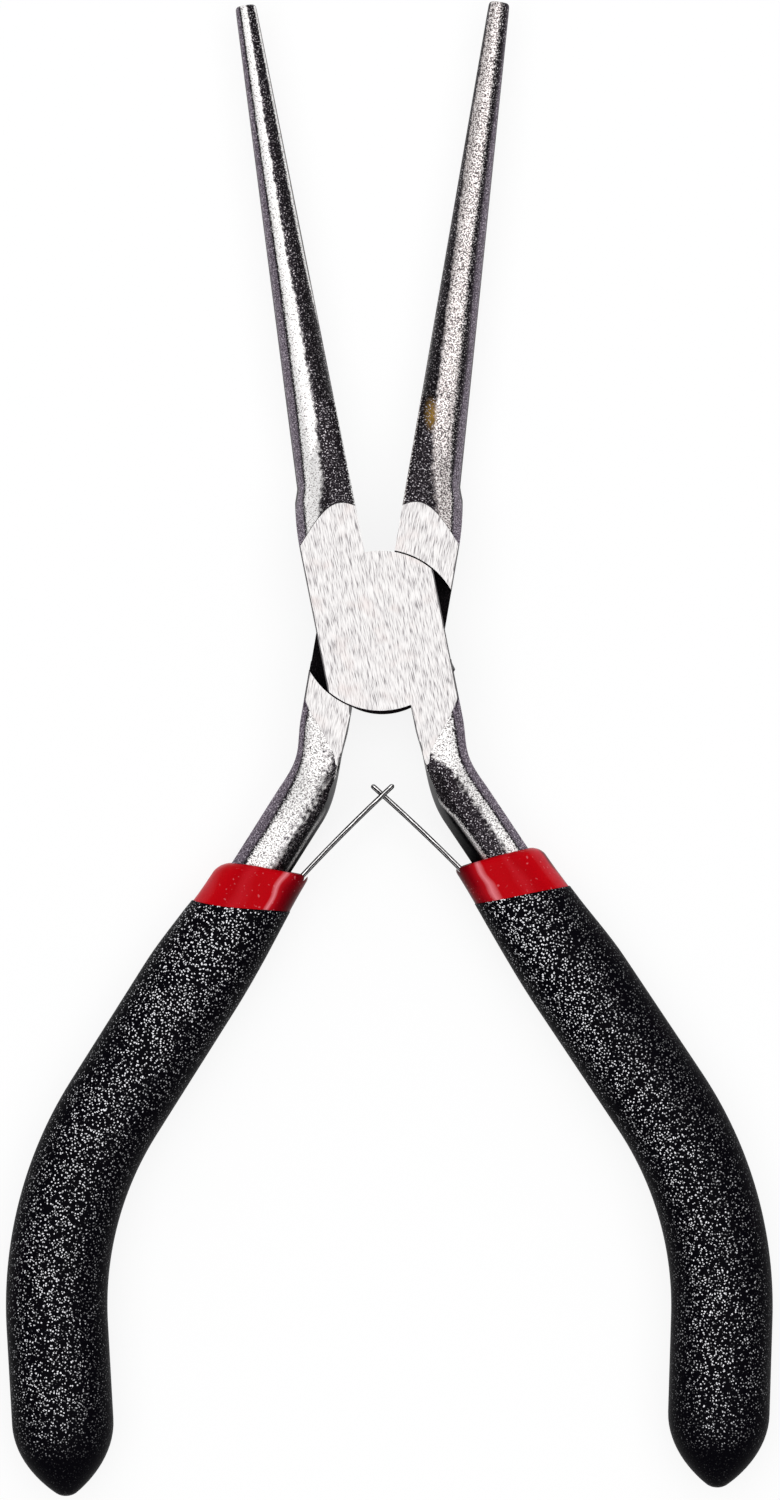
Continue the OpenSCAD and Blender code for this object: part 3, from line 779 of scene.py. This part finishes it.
# Rows of the distance from the pivot, in mm, and the shares at which those five edges lie there
BANDS = {
    "front": [
        (-26, .14, .16, .34, .70, .75), (-22, .14, .17, .34, .72, .765), (-19, .14, .17, .32, .76, .80),
        (-17, .15, .19, .34, .90, .94), (-15.5, .16, .20, .36, .97, .99), (-14.3, .17, .21, .46, .97, .985),
        (-13.5, .17, .21, .68, .97, .985), (-12, .17, .21, .94, .97, .985), (-6, .17, .22, .94, .97, .985),
        (-4, .17, .22, .80, .99, 1), (9, .12, .16, .30, .99, 1), (12, .13, .17, .38, .99, 1),
        (15, .13, .17, .46, .99, 1), (22, .18, .22, .55, .99, 1), (30, .19, .25, .54, .985, .995),
        (36, .20, .25, .52, .92, .97), (40, .20, .25, .50, .90, .97), (50, .17, .24, .51, .90, .97),
        (61, .18, .26, .54, .90, .97)],
    "back": [
        (-26, .16, .22, .69, .90, .935), (-20, .18, .24, .70, .90, .935), (-17, .16, .22, .74, .92, .95),
        (-14.5, .13, .17, .82, .93, .95), (-12, .11, .13, .89, .90, .915), (-6, .10, .12, .89, .90, .91),
        (-4, .10, .12, .97, .99, 1), (9, .12, .16, .30, .99, 1), (12, .15, .19, .40, .99, 1),
        (14, .15, .19, .48, .99, 1), (20, .15, .27, .65, .98, 1), (27, .12, .31, .72, .98, 1),
        (38, .20, .37, .80, .99, 1), (48, .17, .34, .91, .99, 1), (58, .03, .40, .91, .99, 1)],
}


def mark_bands(mesh, along, share, side):
    """Stores the shares, stretched so that this side's bands fall on the marks."""
    rows = np.array(BANDS[side])
    knots = np.array([np.interp(along, rows[:, 0], rows[:, k]) for k in range(1, 6)])
    marks = (0, *BAND_MARKS, 1)
    store(mesh, "share", [np.interp(share[v], (0, *knots[:, v], 1), marks) for v in range(len(share))])


print("rows of bands:", {side: len(rows) for side, rows in BANDS.items()})

# %% [markdown]
# ## Placing the halves
# The front half is turned about the pivot by half of the opening, and the back half is turned over and the other
# way. Riding on its body makes a piece follow the joint. The lower disc stands slightly proud between the shanks,
# and the shoulder beside it steps back to clear it. The proud rim's face lies in the painted shade between the
# halves, so it shows as a thin dark line.

# %% Placing the halves
PLACES = {
    "front": Matrix.Rotation(OPEN_ANGLE / 2, 4, "Z"),
    "back": (Matrix.Rotation(-OPEN_ANGLE / 2, 4, "Z") @ Matrix.Translation((0, 0, JOINT_T))
             @ Matrix.Rotation(math.pi, 4, "Y")),
}
RIM_PROUD, SHOULDER_R, SHOULDER_STEP = 0.34, LAP_R + 0.15, 0.26
# Where the disc is proudest, and how far it is proud on either side, in degrees from straight down
PROUD_AT, PROUD_BEFORE, PROUD_PAST = 4, 32, 36


def smooth(mesh, angle):
    """Smooth shading across shallow edges. The ground flats stay truly flat."""
    mesh.shade_smooth()
    mesh.set_sharp_from_angle(angle=math.radians(angle))
    for face in mesh.polygons:
        if abs(face.normal.z) > 0.99999:
            face.use_smooth = False


def finish_mesh(mesh, angle, material=None):
    """Scales a mesh from mm to metres, shades it and gives it its material."""
    mesh.transform(Matrix.Scale(MM, 4))
    smooth(mesh, angle)
    mesh.materials.clear()
    if material:
        mesh.materials.append(material)


def put(name, mesh, side, nodes):
    """A piece made in the closed half's own place, in metres, put where that half is and riding on it."""
    mesh.transform(PLACES[side])
    piece = bpy.data.objects.new(name, mesh)
    scene.collection.objects.link(piece)
    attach(piece, side + "_side")
    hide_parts(*nodes)
    print(name, len(mesh.vertices), "vertices")


def spread(v, radius, more):
    """Moves a vertex outward from the pivot, by more mm at that radius."""
    v.co.x *= 1 + more / radius
    v.co.y *= 1 + more / radius


def relieve_shoulder(mesh):
    """The shoulder below the lap steps back, so that it clears the proud rim of the other half."""
    for v in mesh.vertices:
        x, y, z = v.co / MM
        if z < MID + LAP_GAP and y < 0 and abs(math.hypot(x, y) - SHOULDER_R) < 0.1:
            spread(v, SHOULDER_R, SHOULDER_STEP)


def spread_rim(mesh):
    """The turned-over half's disc stands a little proud of the other one between the shanks."""
    for v in mesh.vertices:
        x, y = v.co.x / MM, v.co.y / MM
        # The angle from straight down as it is seen from the front, with the pliers open
        if v.co.z / MM > MID and y < 0 and abs(math.hypot(x, y) - LAP_R) < 0.15:
            angle = math.degrees(math.atan2(-x, -y)) - math.degrees(OPEN_ANGLE / 2)
            reach = PROUD_BEFORE if angle < PROUD_AT else PROUD_PAST
            spread(v, LAP_R, RIM_PROUD * max(0, 1 - ((angle - PROUD_AT) / reach) ** 2))


finish_mesh(half.data, 30)
for side, reshape in (("front", relieve_shoulder), ("back", spread_rim)):
    mesh = half.data.copy()
    reshape(mesh)
    mark_bands(mesh, half_along, half_share, side)
    mesh.materials.append(steels[side])
    put(side + "_forging", mesh, side, [side + "_half"])
bpy.data.objects.remove(half)

rivet = rivet_solid()
finish_mesh(rivet.data, 30, steels["front"])
put("ground_rivet", rivet.data, "front", ["pivot_rivet"])
bpy.data.objects.remove(rivet)

# %% [markdown]
# ## Leaf springs: their shape
# Two strips of spring steel push the grips apart. Each has its foot riveted inside a grip, and they lean on
# each other where the tongue of one passes through the fork of the other. A strip is a thin section with
# rounded edges, walked along legs like the half.

# %% Leaf springs: their shape
FOOT_LENGTH, LEAF_T, LEAF_W = 6.5, 0.5, 3.4
LEAF_LEGS = [(FOOT_LENGTH, 0), (6 * math.radians(9), 9), (17.2, 6)]
leaf_length = sum(leg[0] for leg in LEAF_LEGS)
NARROW_LENGTH, LEAF_END_R, LEAF_EDGE_R = 5.5, 0.25, 0.16   # the tongue, a leaf's round end, its round edges
FOOT_TOP_S = path_at_y(BLACK_Y) + 0.4
foot_pose = half_pose(FOOT_TOP_S + FOOT_LENGTH)
to_foot = (Matrix.Translation((foot_pose[0], foot_pose[1], MID))
           @ Matrix.Rotation(math.radians(SPLAY), 4, "Z")
           @ Matrix.Translation((-SHANK_HALF_W, 0, 0)))


def leaf_pose(s):
    return walk(LEAF_LEGS, (0, 0, 180), s)


def leaf_point(s, out, up):
    x, y, heading = leaf_pose(s)
    h = math.radians(heading)
    return x + out * math.cos(h), y + out * math.sin(h), up


def leaf_ring(s, cut):
    """The section of a leaf, where cut is how much of each side goes past the point at which it narrows."""
    tip = max(0, s - leaf_length + LEAF_END_R) / LEAF_END_R
    t, w = LEAF_T / 2 * math.sqrt(max(0.03, 1 - tip * tip)), LEAF_W / 2 - 0.1 * tip
    if s > leaf_length - NARROW_LENGTH:
        w -= cut
    edge = LEAF_EDGE_R * t / LEAF_T * 2
    ring = [(t, w - LEAF_EDGE_R), (t - edge * 0.3, w - 0.05), (t - edge, w), (0, w), (-t + edge, w),
            (-t + edge * 0.3, w - 0.05), (-t, w - LEAF_EDGE_R)]
    return [leaf_point(s, LEAF_T / 2 + u, v) for u, v in ring + [(-u, -v) for u, v in ring]]


def leaf_strip(name, cut, slot):
    """A strip whose tongue is narrower by cut on each side, or whose fork is slot wide."""
    narrow_from, end_from = leaf_length - NARROW_LENGTH, leaf_length - LEAF_END_R
    stations = steps(0, narrow_from - 0.01, 0.5) + steps(narrow_from + 0.01, end_from, 0.5)
    stations += [end_from + LEAF_END_R * math.sin(a) for a in np.radians((30, 60, 88))]
    strip = solid(name, [leaf_ring(s, cut) for s in stations])
    if slot:
        bottom, past_end = narrow_from - slot / 2, leaf_length + 2
        outline = [leaf_point(s, out, 0)[:2] for s, out in
                   ((bottom, -2), (bottom, 2), (past_end, 2), (past_end, -2))]
        carve(strip, prism("slot", outline, -slot / 2, slot / 2), "DIFFERENCE")
    strip.data.transform(to_foot)
    return strip


print("leaf:", round(leaf_length, 1), "mm long")

# %% [markdown]
# ## Leaf springs: their steel
# Spring strip is tempered until it is blue-black and is then slit, so its narrow edges shine between dark faces.
# From above only an edge shows, as bright lines beside dark ones, which are painted highlight and painted shade.
# The material takes these bands from how far through the strip's thickness a point lies, which each strip stores.

# %% Leaf springs: their steel
STRIP_GRAIN, STRIP_RUNS = 0.12 * MM, 1.6 * MM    # wear on the edge, and how soon its bands wander
# Painted highlight lines and painted shade across the strip's edge
STRIP_HIGHLIGHT_STOPS = [(0.20, "#080608"), (0.26, "#e8e6e5"), (0.40, "#f0eeed"), (0.46, "#080608"), (0.68, "#080608"),
               (0.73, "#b8b6b6"), (0.80, "#b8b6b6"), (0.86, "#0c0a0c")]


def strip_steel():
    """Tempered and slit spring strip. It gives the eye two fine painted highlight lines on a dark edge, with
    painted shade between them.
    """
    material, add = new_material("blue_tempered_spring_steel")
    coords = add("TexCoord")
    across = add("Attribute", attribute_name="across")
    grit, runs = (add("TexNoise", {"Vector": (coords, "Object"), "Scale": 1 / size, "Detail": 1.0})
                  for size in (STRIP_GRAIN, STRIP_RUNS))
    wander = add("MapRange", [runs, 0.3, 0.7, -0.06, 0.06])
    across = add("Math.ADD", [(across, "Fac"), wander])
    painted_bands = add("ValToRGB", [across], stops=STRIP_HIGHLIGHT_STOPS)
    worn = add("MapRange", [grit, 0.35, 0.65, 0.6, 1.05])
    colour = add("Mix", [1.0, painted_bands, worn], data_type="RGBA", blend_type="MULTIPLY")
    shader = add("BsdfPrincipled", {"Base Color": colour, "Metallic": 1.0, "Roughness": 0.35})
    add("OutputMaterial", {"Surface": shader})
    return material


def mark_across(mesh):
    """Stores how far through the strip's thickness each point is, from the face that lies on the shank."""
    to_leaf = to_foot.inverted()
    points = points_of(mesh) @ np.array(to_leaf.to_3x3().transposed()) + np.array(to_leaf.translation)
    line = np.array([leaf_pose(s) for s in np.arange(0, leaf_length, 0.05)])
    store(mesh, "across", np.clip([beside(line, point)[1] / LEAF_T for point in points], 0, 1))


spring_steel = strip_steel()
print(spring_steel.name, len(spring_steel.node_tree.nodes), "nodes")

# %% [markdown]
# ## Grips: their shape
# The shanks are dipped in liquid PVC and baked, once in red and once in black. The first dip leaves a
# collar that shows, and the second a thick sleeve that runs out in a soft point with a ball at its end.
# Both are skins through sections along the centre line. The shank is cut out of the red coat and the red
# one out of the black, so each fits exactly what it is dipped over.

# %% Grips: their shape
RED_S, BLACK_S = path_at_y(RED_Y), path_at_y(BLACK_Y)
CAP_LENGTH, TAPER_TURN = 7.5, 67     # the tapered end, and how much of a quarter turn it uses, in degrees
BALL_R, BALL_FROM = 1.5, 54          # the ball at its end, and where on the ball the taper meets it
cap_s = path_length - CAP_LENGTH
ROUND_N = 96
COAT_T, GRIP_SHIFT = 0.7, 0.3        # the red coat under the black one, and how far the grip sits to one side
RED_INSET, BLACK_INSET = 0.12, 0.04  # how far each coat stays inside the grip's outline
GRIP_TABLES = {
    "width": [(RED_S, 8.4), (RED_S + 14, 9.9)],
    "thickness": [(RED_S, 8.2), (RED_S + 14, 9.0)],
    "square": [(RED_S, 0), (BLACK_S, 0), (BLACK_S + 14, 1)],
}


def round_section(a, b, power=2 / 2.3):
    """A slightly squared oval."""
    points = []
    for i in range(ROUND_N):
        angle = math.pi - (i + 0.5) * 2 * math.pi / ROUND_N
        c, s = math.cos(angle), math.sin(angle)
        points.append((a * math.copysign(abs(c) ** power, c), b * math.copysign(abs(s) ** power, s)))
    return points


def grip_ring(s, inset, shrink=1.0):
    pose = half_pose(s)
    angle = pose[2] * eased(GRIP_TABLES["square"], s)
    tapered = 1 - max(0, (s - cap_s) / CAP_LENGTH) ** 2
    across = shrink * (eased(GRIP_TABLES["width"], s) / 2 * tapered ** 0.85 - inset)
    up = shrink * (eased(GRIP_TABLES["thickness"], s) / 2 * tapered ** 0.6 - inset)
    section = round_section(across / math.cos(math.radians(pose[2] - angle)), up)
    return stand(section, pose, angle, GRIP_SHIFT + 0.4 * inset)


def coat_ring(s):
    pose = half_pose(s)
    angle = pose[2] * eased(GRIP_TABLES["square"], s)
    across = (SHANK_HALF_W + COAT_T) / math.cos(math.radians(pose[2] - angle))
    return stand(round_section(across, SHANK_HALF_T + COAT_T), pose, angle)


def red_body():
    """The collar with its rounded lip, and the thin coat below it."""
    lip = 0.9    # radius of the collar's rounded edge
    rings = [grip_ring(RED_S + lip * (1 - math.sin(a)), RED_INSET + lip * (1 - math.cos(a)))
             for a in np.radians(np.linspace(88, 12, 9))]
    rings += [grip_ring(s, RED_INSET) for s in steps(RED_S + lip, BLACK_S, 0.5)]
    rings += [coat_ring(s) for s in steps(BLACK_S, shank_length + COAT_T, 1.5)]
    return solid("red", rings)


def black_body():
    """The sleeve, from the collar to a tapered end that runs into a ball."""
    rings = [grip_ring(s, BLACK_INSET) for s in steps(BLACK_S, cap_s, 0.7)]
    rings += [grip_ring(cap_s + CAP_LENGTH * math.sin(a), BLACK_INSET)
              for a in np.radians(np.linspace(5, TAPER_TURN, 14))]
    taper_end_s = cap_s + CAP_LENGTH * math.sin(math.radians(TAPER_TURN))
    ball_from, here = math.radians(BALL_FROM), half_pose(taper_end_s)
    for a in np.linspace(ball_from, math.radians(86), 9)[1:]:
        there = half_pose(taper_end_s + BALL_R * (math.sin(a) - math.sin(ball_from)))
        ring = grip_ring(taper_end_s, BLACK_INSET, math.cos(a) / math.cos(ball_from))
        rings.append([(x + there[0] - here[0], y + there[1] - here[1], z) for x, y, z in ring])
    return solid("black", rings)


print("grip: starts", round(RED_S, 1), "mm along the centre line, black from", round(BLACK_S, 1), "mm")

# %% [markdown]
# ## Grips: room for the springs
# Each leaf leaves its grip through a slit on the inner side, and its rivet's head has a small room further
# in. The real PVC is dipped over the springs' feet. Cutting the room from solid coats gives the same walls.

# %% Grips: room for the springs
POCKET_GAP = 0.12


def leaf_pocket():
    """The room that a spring and its rivet's head have in the grip."""
    far = LEAF_T + POCKET_GAP
    stations = steps(FOOT_LENGTH, FOOT_LENGTH + FOOT_TOP_S - RED_S + 2, 0.8)
    slit = [leaf_point(s, -2, 0)[:2] for s in stations]
    slit += [leaf_point(s, far, 0)[:2] for s in reversed(stations)]
    top = FOOT_LENGTH + 0.4 + SHANK_HALF_W * math.tan(math.radians(SPLAY))
    room = [(2, -POCKET_GAP), (2, top), (-far - 0.6, top), (-far - 0.6, -POCKET_GAP)]
    high = LEAF_W / 2 + POCKET_GAP
    # The room is a hair higher than the slit, so that the two have no faces in one plane
    pocket = prism("slit", slit, -high, high)
    carve(pocket, prism("room", room, -high - 0.001, high + 0.001), "UNION")
    pocket.data.transform(to_foot)
    return pocket


red = carve(red_body(), shank_solid(), "DIFFERENCE")
black = carve(black_body(), red_body(), "DIFFERENCE")
for coat in (red, black):
    carve(coat, leaf_pocket(), "DIFFERENCE")
    print(coat.name, len(coat.data.vertices), "vertices")

# %% [markdown]
# ## Grips: black PVC
# The second dip has a pebbled grain, which keeps the hand from slipping. Each pebble's small highlight is painted
# into the colour as a pale grey speck on black, brightest along the top and gone at the rounded end. Voronoi
# cells give each pebble its own height and painted brightness, and a share across the grip and one along it dim
# them.

# %% Grips: black PVC
PEBBLE = 0.24 * MM     # distance between pebbles, a little more than the real 0.2 mm, which is hard to see
FLOW, FLOW_REACH = 1.4 * MM, 0.5 * MM    # how the pebbles' rows bend
PATCH = 3.0 * MM       # size of the brighter and duller patches
BLACK_PVC, GLINT = "#040307", "#f8f8fb"
# How bright the painted highlights are, across the sleeve
SLEEVE_HIGHLIGHT_STOPS = [(0.0, "#383838"), (0.05, "#686868"), (0.16, "#989898"), (0.30, "#e0e0e0"), (0.52, "#e6e6e6"),
                (0.66, "#a0a0a0"), (0.80, "#686868"), (1.0, "#3c3c3c")]


def grained_pvc():
    """Black PVC with a pebbled grain, dipped and baked. It gives the eye painted highlights as pale specks on a
    matt black.
    """
    material, add = new_material("grained_black_dipped_pvc")
    coords = add("TexCoord")
    place = (coords, "Object")
    share, along = ((add("Attribute", attribute_name=name), "Fac") for name in ("share", "along"))
    flow = add("TexNoise", {"Vector": place, "Scale": 1 / FLOW, "Detail": 1.0})
    flow = add("VectorMath.MULTIPLY", [(flow, "Color"), (FLOW_REACH, FLOW_REACH, FLOW_REACH)])
    bent = add("VectorMath.ADD", [place, flow])
    pebbles = add("TexVoronoi", {"Vector": bent, "Scale": 1 / PEBBLE}, feature="F1")
    each = add("SeparateColor", [(pebbles, "Color")])
    patch = add("TexNoise", {"Vector": place, "Scale": 1 / PATCH, "Detail": 2.0})

    glint_strength = add("MapRange", [patch, 0.3, 0.65, 0.88, 1.18])
    for part in (
            add("ValToRGB", [share], stops=SLEEVE_HIGHLIGHT_STOPS),
            add("MapRange", [along, 0.885, 0.955, 1.0, 0.015]),     # painted highlights fade out at the rounded end
            add("MapRange", [along, 0.3, 0.5, 2.1, 1.0]),           # painted highlights brighter near the collar
            add("MapRange", [(each, "Red"), 0.0, 0.9, 0.4, 3.7])):  # no two pebbles alike
        glint_strength = add("Math.MULTIPLY", [glint_strength, part])
    top = add("MapRange", [(pebbles, "Distance"), 0.06, 0.385, 1.0, 0.0], interpolation_type="SMOOTHSTEP")
    painted_glint = add("Math.MULTIPLY", [top, glint_strength], use_clamp=True)
    colour = add("Mix", [painted_glint, linear(BLACK_PVC), linear(GLINT)], data_type="RGBA")
    bump = add("Bump", {"Height": top, "Strength": 0.7, "Distance": 0.06 * MM})
    # The highlights are drawn in the colour, so the sheen itself is nearly off
    shader = add("BsdfPrincipled", {
        "Base Color": colour, "Roughness": 0.5, "Specular IOR Level": 0.02, "Normal": bump})
    add("OutputMaterial", {"Surface": shader})
    return material


black_pvc = grained_pvc()
print(black_pvc.name, len(black_pvc.node_tree.nodes), "nodes")

# %% [markdown]
# ## Grips: red PVC
# The first dip is smooth and glossy. Two soft streaks of light along the collar are painted highlights, and the
# darker red towards both sides is painted shade. The streaks wander a little, because a dipped surface is never
# quite even.

# %% Grips: red PVC
WAVE, FLECK = 4 * MM, 0.35 * MM    # how broadly the streaks wander, and the small pale flecks
FLECK_COLOUR = "#e08088"
# Painted shade at the collar's sides and painted highlight streaks across it
COLLAR_LIGHT_AND_SHADE_STOPS = [(0.0, "#5a0612"), (0.05, "#c0343e"), (0.16, "#b00610"), (0.34, "#a4020c"), (0.42, "#b0141e"),
                (0.50, "#ac020c"), (0.70, "#b0030e"), (0.75, "#dc7880"), (0.79, "#ac101a"), (0.88, "#7c000c"),
                (1.0, "#4c020a")]


def glossy_pvc():
    """Smooth red PVC, dipped and baked. It gives the eye a wet gloss, with painted pink highlight streaks and
    painted shade towards its sides.
    """
    material, add = new_material("glossy_red_dipped_pvc")
    place = (add("TexCoord"), "Object")
    share = add("Attribute", attribute_name="share")
    waves, fine = (add("TexNoise", {"Vector": place, "Scale": 1 / size, "Detail": 1.0})
                   for size in (WAVE, FLECK))
    shifted = add("MapRange", [waves, 0.3, 0.7, -0.05, 0.05])
    shifted = add("Math.ADD", [(share, "Fac"), shifted])
    painted_streaks = add("ValToRGB", [shifted], stops=COLLAR_LIGHT_AND_SHADE_STOPS)
    spot = add("MapRange", [fine, 0.68, 0.76, 0.0, 0.35])
    colour = add("Mix", [spot, painted_streaks, linear(FLECK_COLOUR)], data_type="RGBA")
    bump = add("Bump", {"Height": waves, "Strength": 0.3, "Distance": 0.05 * MM})
    # Here too, the streaks in the colour stand in for the sheen
    shader = add("BsdfPrincipled", {
        "Base Color": colour, "Roughness": 0.3, "Specular IOR Level": 0.015, "Normal": bump})
    add("OutputMaterial", {"Surface": shader})
    return material


red_pvc = glossy_pvc()
print(red_pvc.name, len(red_pvc.node_tree.nodes), "nodes")

# %% [markdown]
# ## Grips: on each half
# Both halves are dipped in one bath, so one pair of coats is copied to both. A dip never ends quite square,
# so the collar's edges are slid along the grip, to a slightly different slant on each half. Both coats of a
# half move alike, which keeps them closed against each other.

# %% Grips: on each half
SLIDE_REACH = 4    # how far from its edge a slide fades out, in mm
# Rows of an edge's distance along the centre line, and how far down its inner and outer side move, in mm
COLLAR_SLIDES = {
    "front": [(RED_S, -0.5, -1.2), (BLACK_S, -0.3, -0.5)],
    "back": [(RED_S, 0.3, 0.0), (BLACK_S, 0.2, 1.2)],
}


def measure_grip(mesh):
    """For each point of a grip, in mm: its share of the way from the outer side to the inner one, and its
    distance along the half's centre line, as a share of that line."""
    co = points_of(mesh)
    share, along = np.zeros(len(co)), np.zeros(len(co))
    for v, point in enumerate(co):
        i, across = beside(PATH, point)
        share[v] = 0.5 - (across + GRIP_SHIFT) / eased(GRIP_TABLES["width"], PATH_S[i])
        along[v] = PATH_S[i] / path_length
    return np.clip(share, 0, 1), along


def slide_collar(mesh, share, along, slides):
    """Slides a coat along the centre line near the collar's edges."""
    for v in mesh.vertices:
        s = along[v.index] * path_length
        shift = sum(max(0, 1 - ((s - edge) / SLIDE_REACH) ** 2) ** 2
                    * (outer + (inner - outer) * share[v.index]) for edge, inner, outer in slides)
        if shift:
            h = math.radians(half_pose(s)[2])
            v.co += Vector((math.sin(h), -math.cos(h), 0)) * shift * MM


for coat, name, material in ((red, "red", red_pvc), (black, "black", black_pvc)):
    share, along = measure_grip(coat.data)
    store(coat.data, "share", share)
    store(coat.data, "along", along)
    finish_mesh(coat.data, 40, material)
    for side in PLACES:
        mesh = coat.data.copy()
        slide_collar(mesh, share, along, COLLAR_SLIDES[side])
        if (side, name) == ("front", "black"):
            # This sleeve's painted highlights lie further in, most of all near the collar
            store(mesh, "share", share ** np.interp(along, (0.35, 0.95), (2.4, 1.4)))
        put(f"{side}_{name}_grip", mesh, side, [f"{side}_{name}_coat"])
    bpy.data.objects.remove(coat)

# %% [markdown]
# ## Fitting the springs
# Each leaf is built with its tongue or its fork, given the springs' steel, and put where its own half lies. The
# two spring rivets are hidden in the grips, and stay as the CAD model has them, in the springs' steel.

# %% Fitting the springs
TONGUE_CUT, FORK_SLOT = 1.1, 1.6     # the tongue is 1.2 mm wide in a slot of 1.6 mm


def leaf_middle(side, s):
    """The middle of a leaf's thickness at a distance s along it, in metres, where that half lies."""
    return PLACES[side] @ (to_foot @ Vector(leaf_point(s, LEAF_T / 2, 0)) * MM)


mouth_s = FOOT_LENGTH + FOOT_TOP_S - RED_S
middles = [leaf_middle("front", s) for s in np.arange(FOOT_LENGTH, leaf_length, 0.1)]
for name, side, cut, slot in (("tongue_leaf", "front", TONGUE_CUT, 0), ("forked_leaf", "back", 0, FORK_SLOT)):
    strip = leaf_strip(name + "_strip", cut, slot)
    mark_across(strip.data)
    finish_mesh(strip.data, 25, spring_steel)
    strip.data.transform(PLACES[side])
    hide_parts(name + "_spring")
    start = leaf_middle(side, mouth_s)
    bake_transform(strip)

for name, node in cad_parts.items():
    if not node.hide_render:    # no piece replaces it
        node.data.materials.clear()
        node.data.materials.append(spring_steel)
        print("CAD node kept:", name)
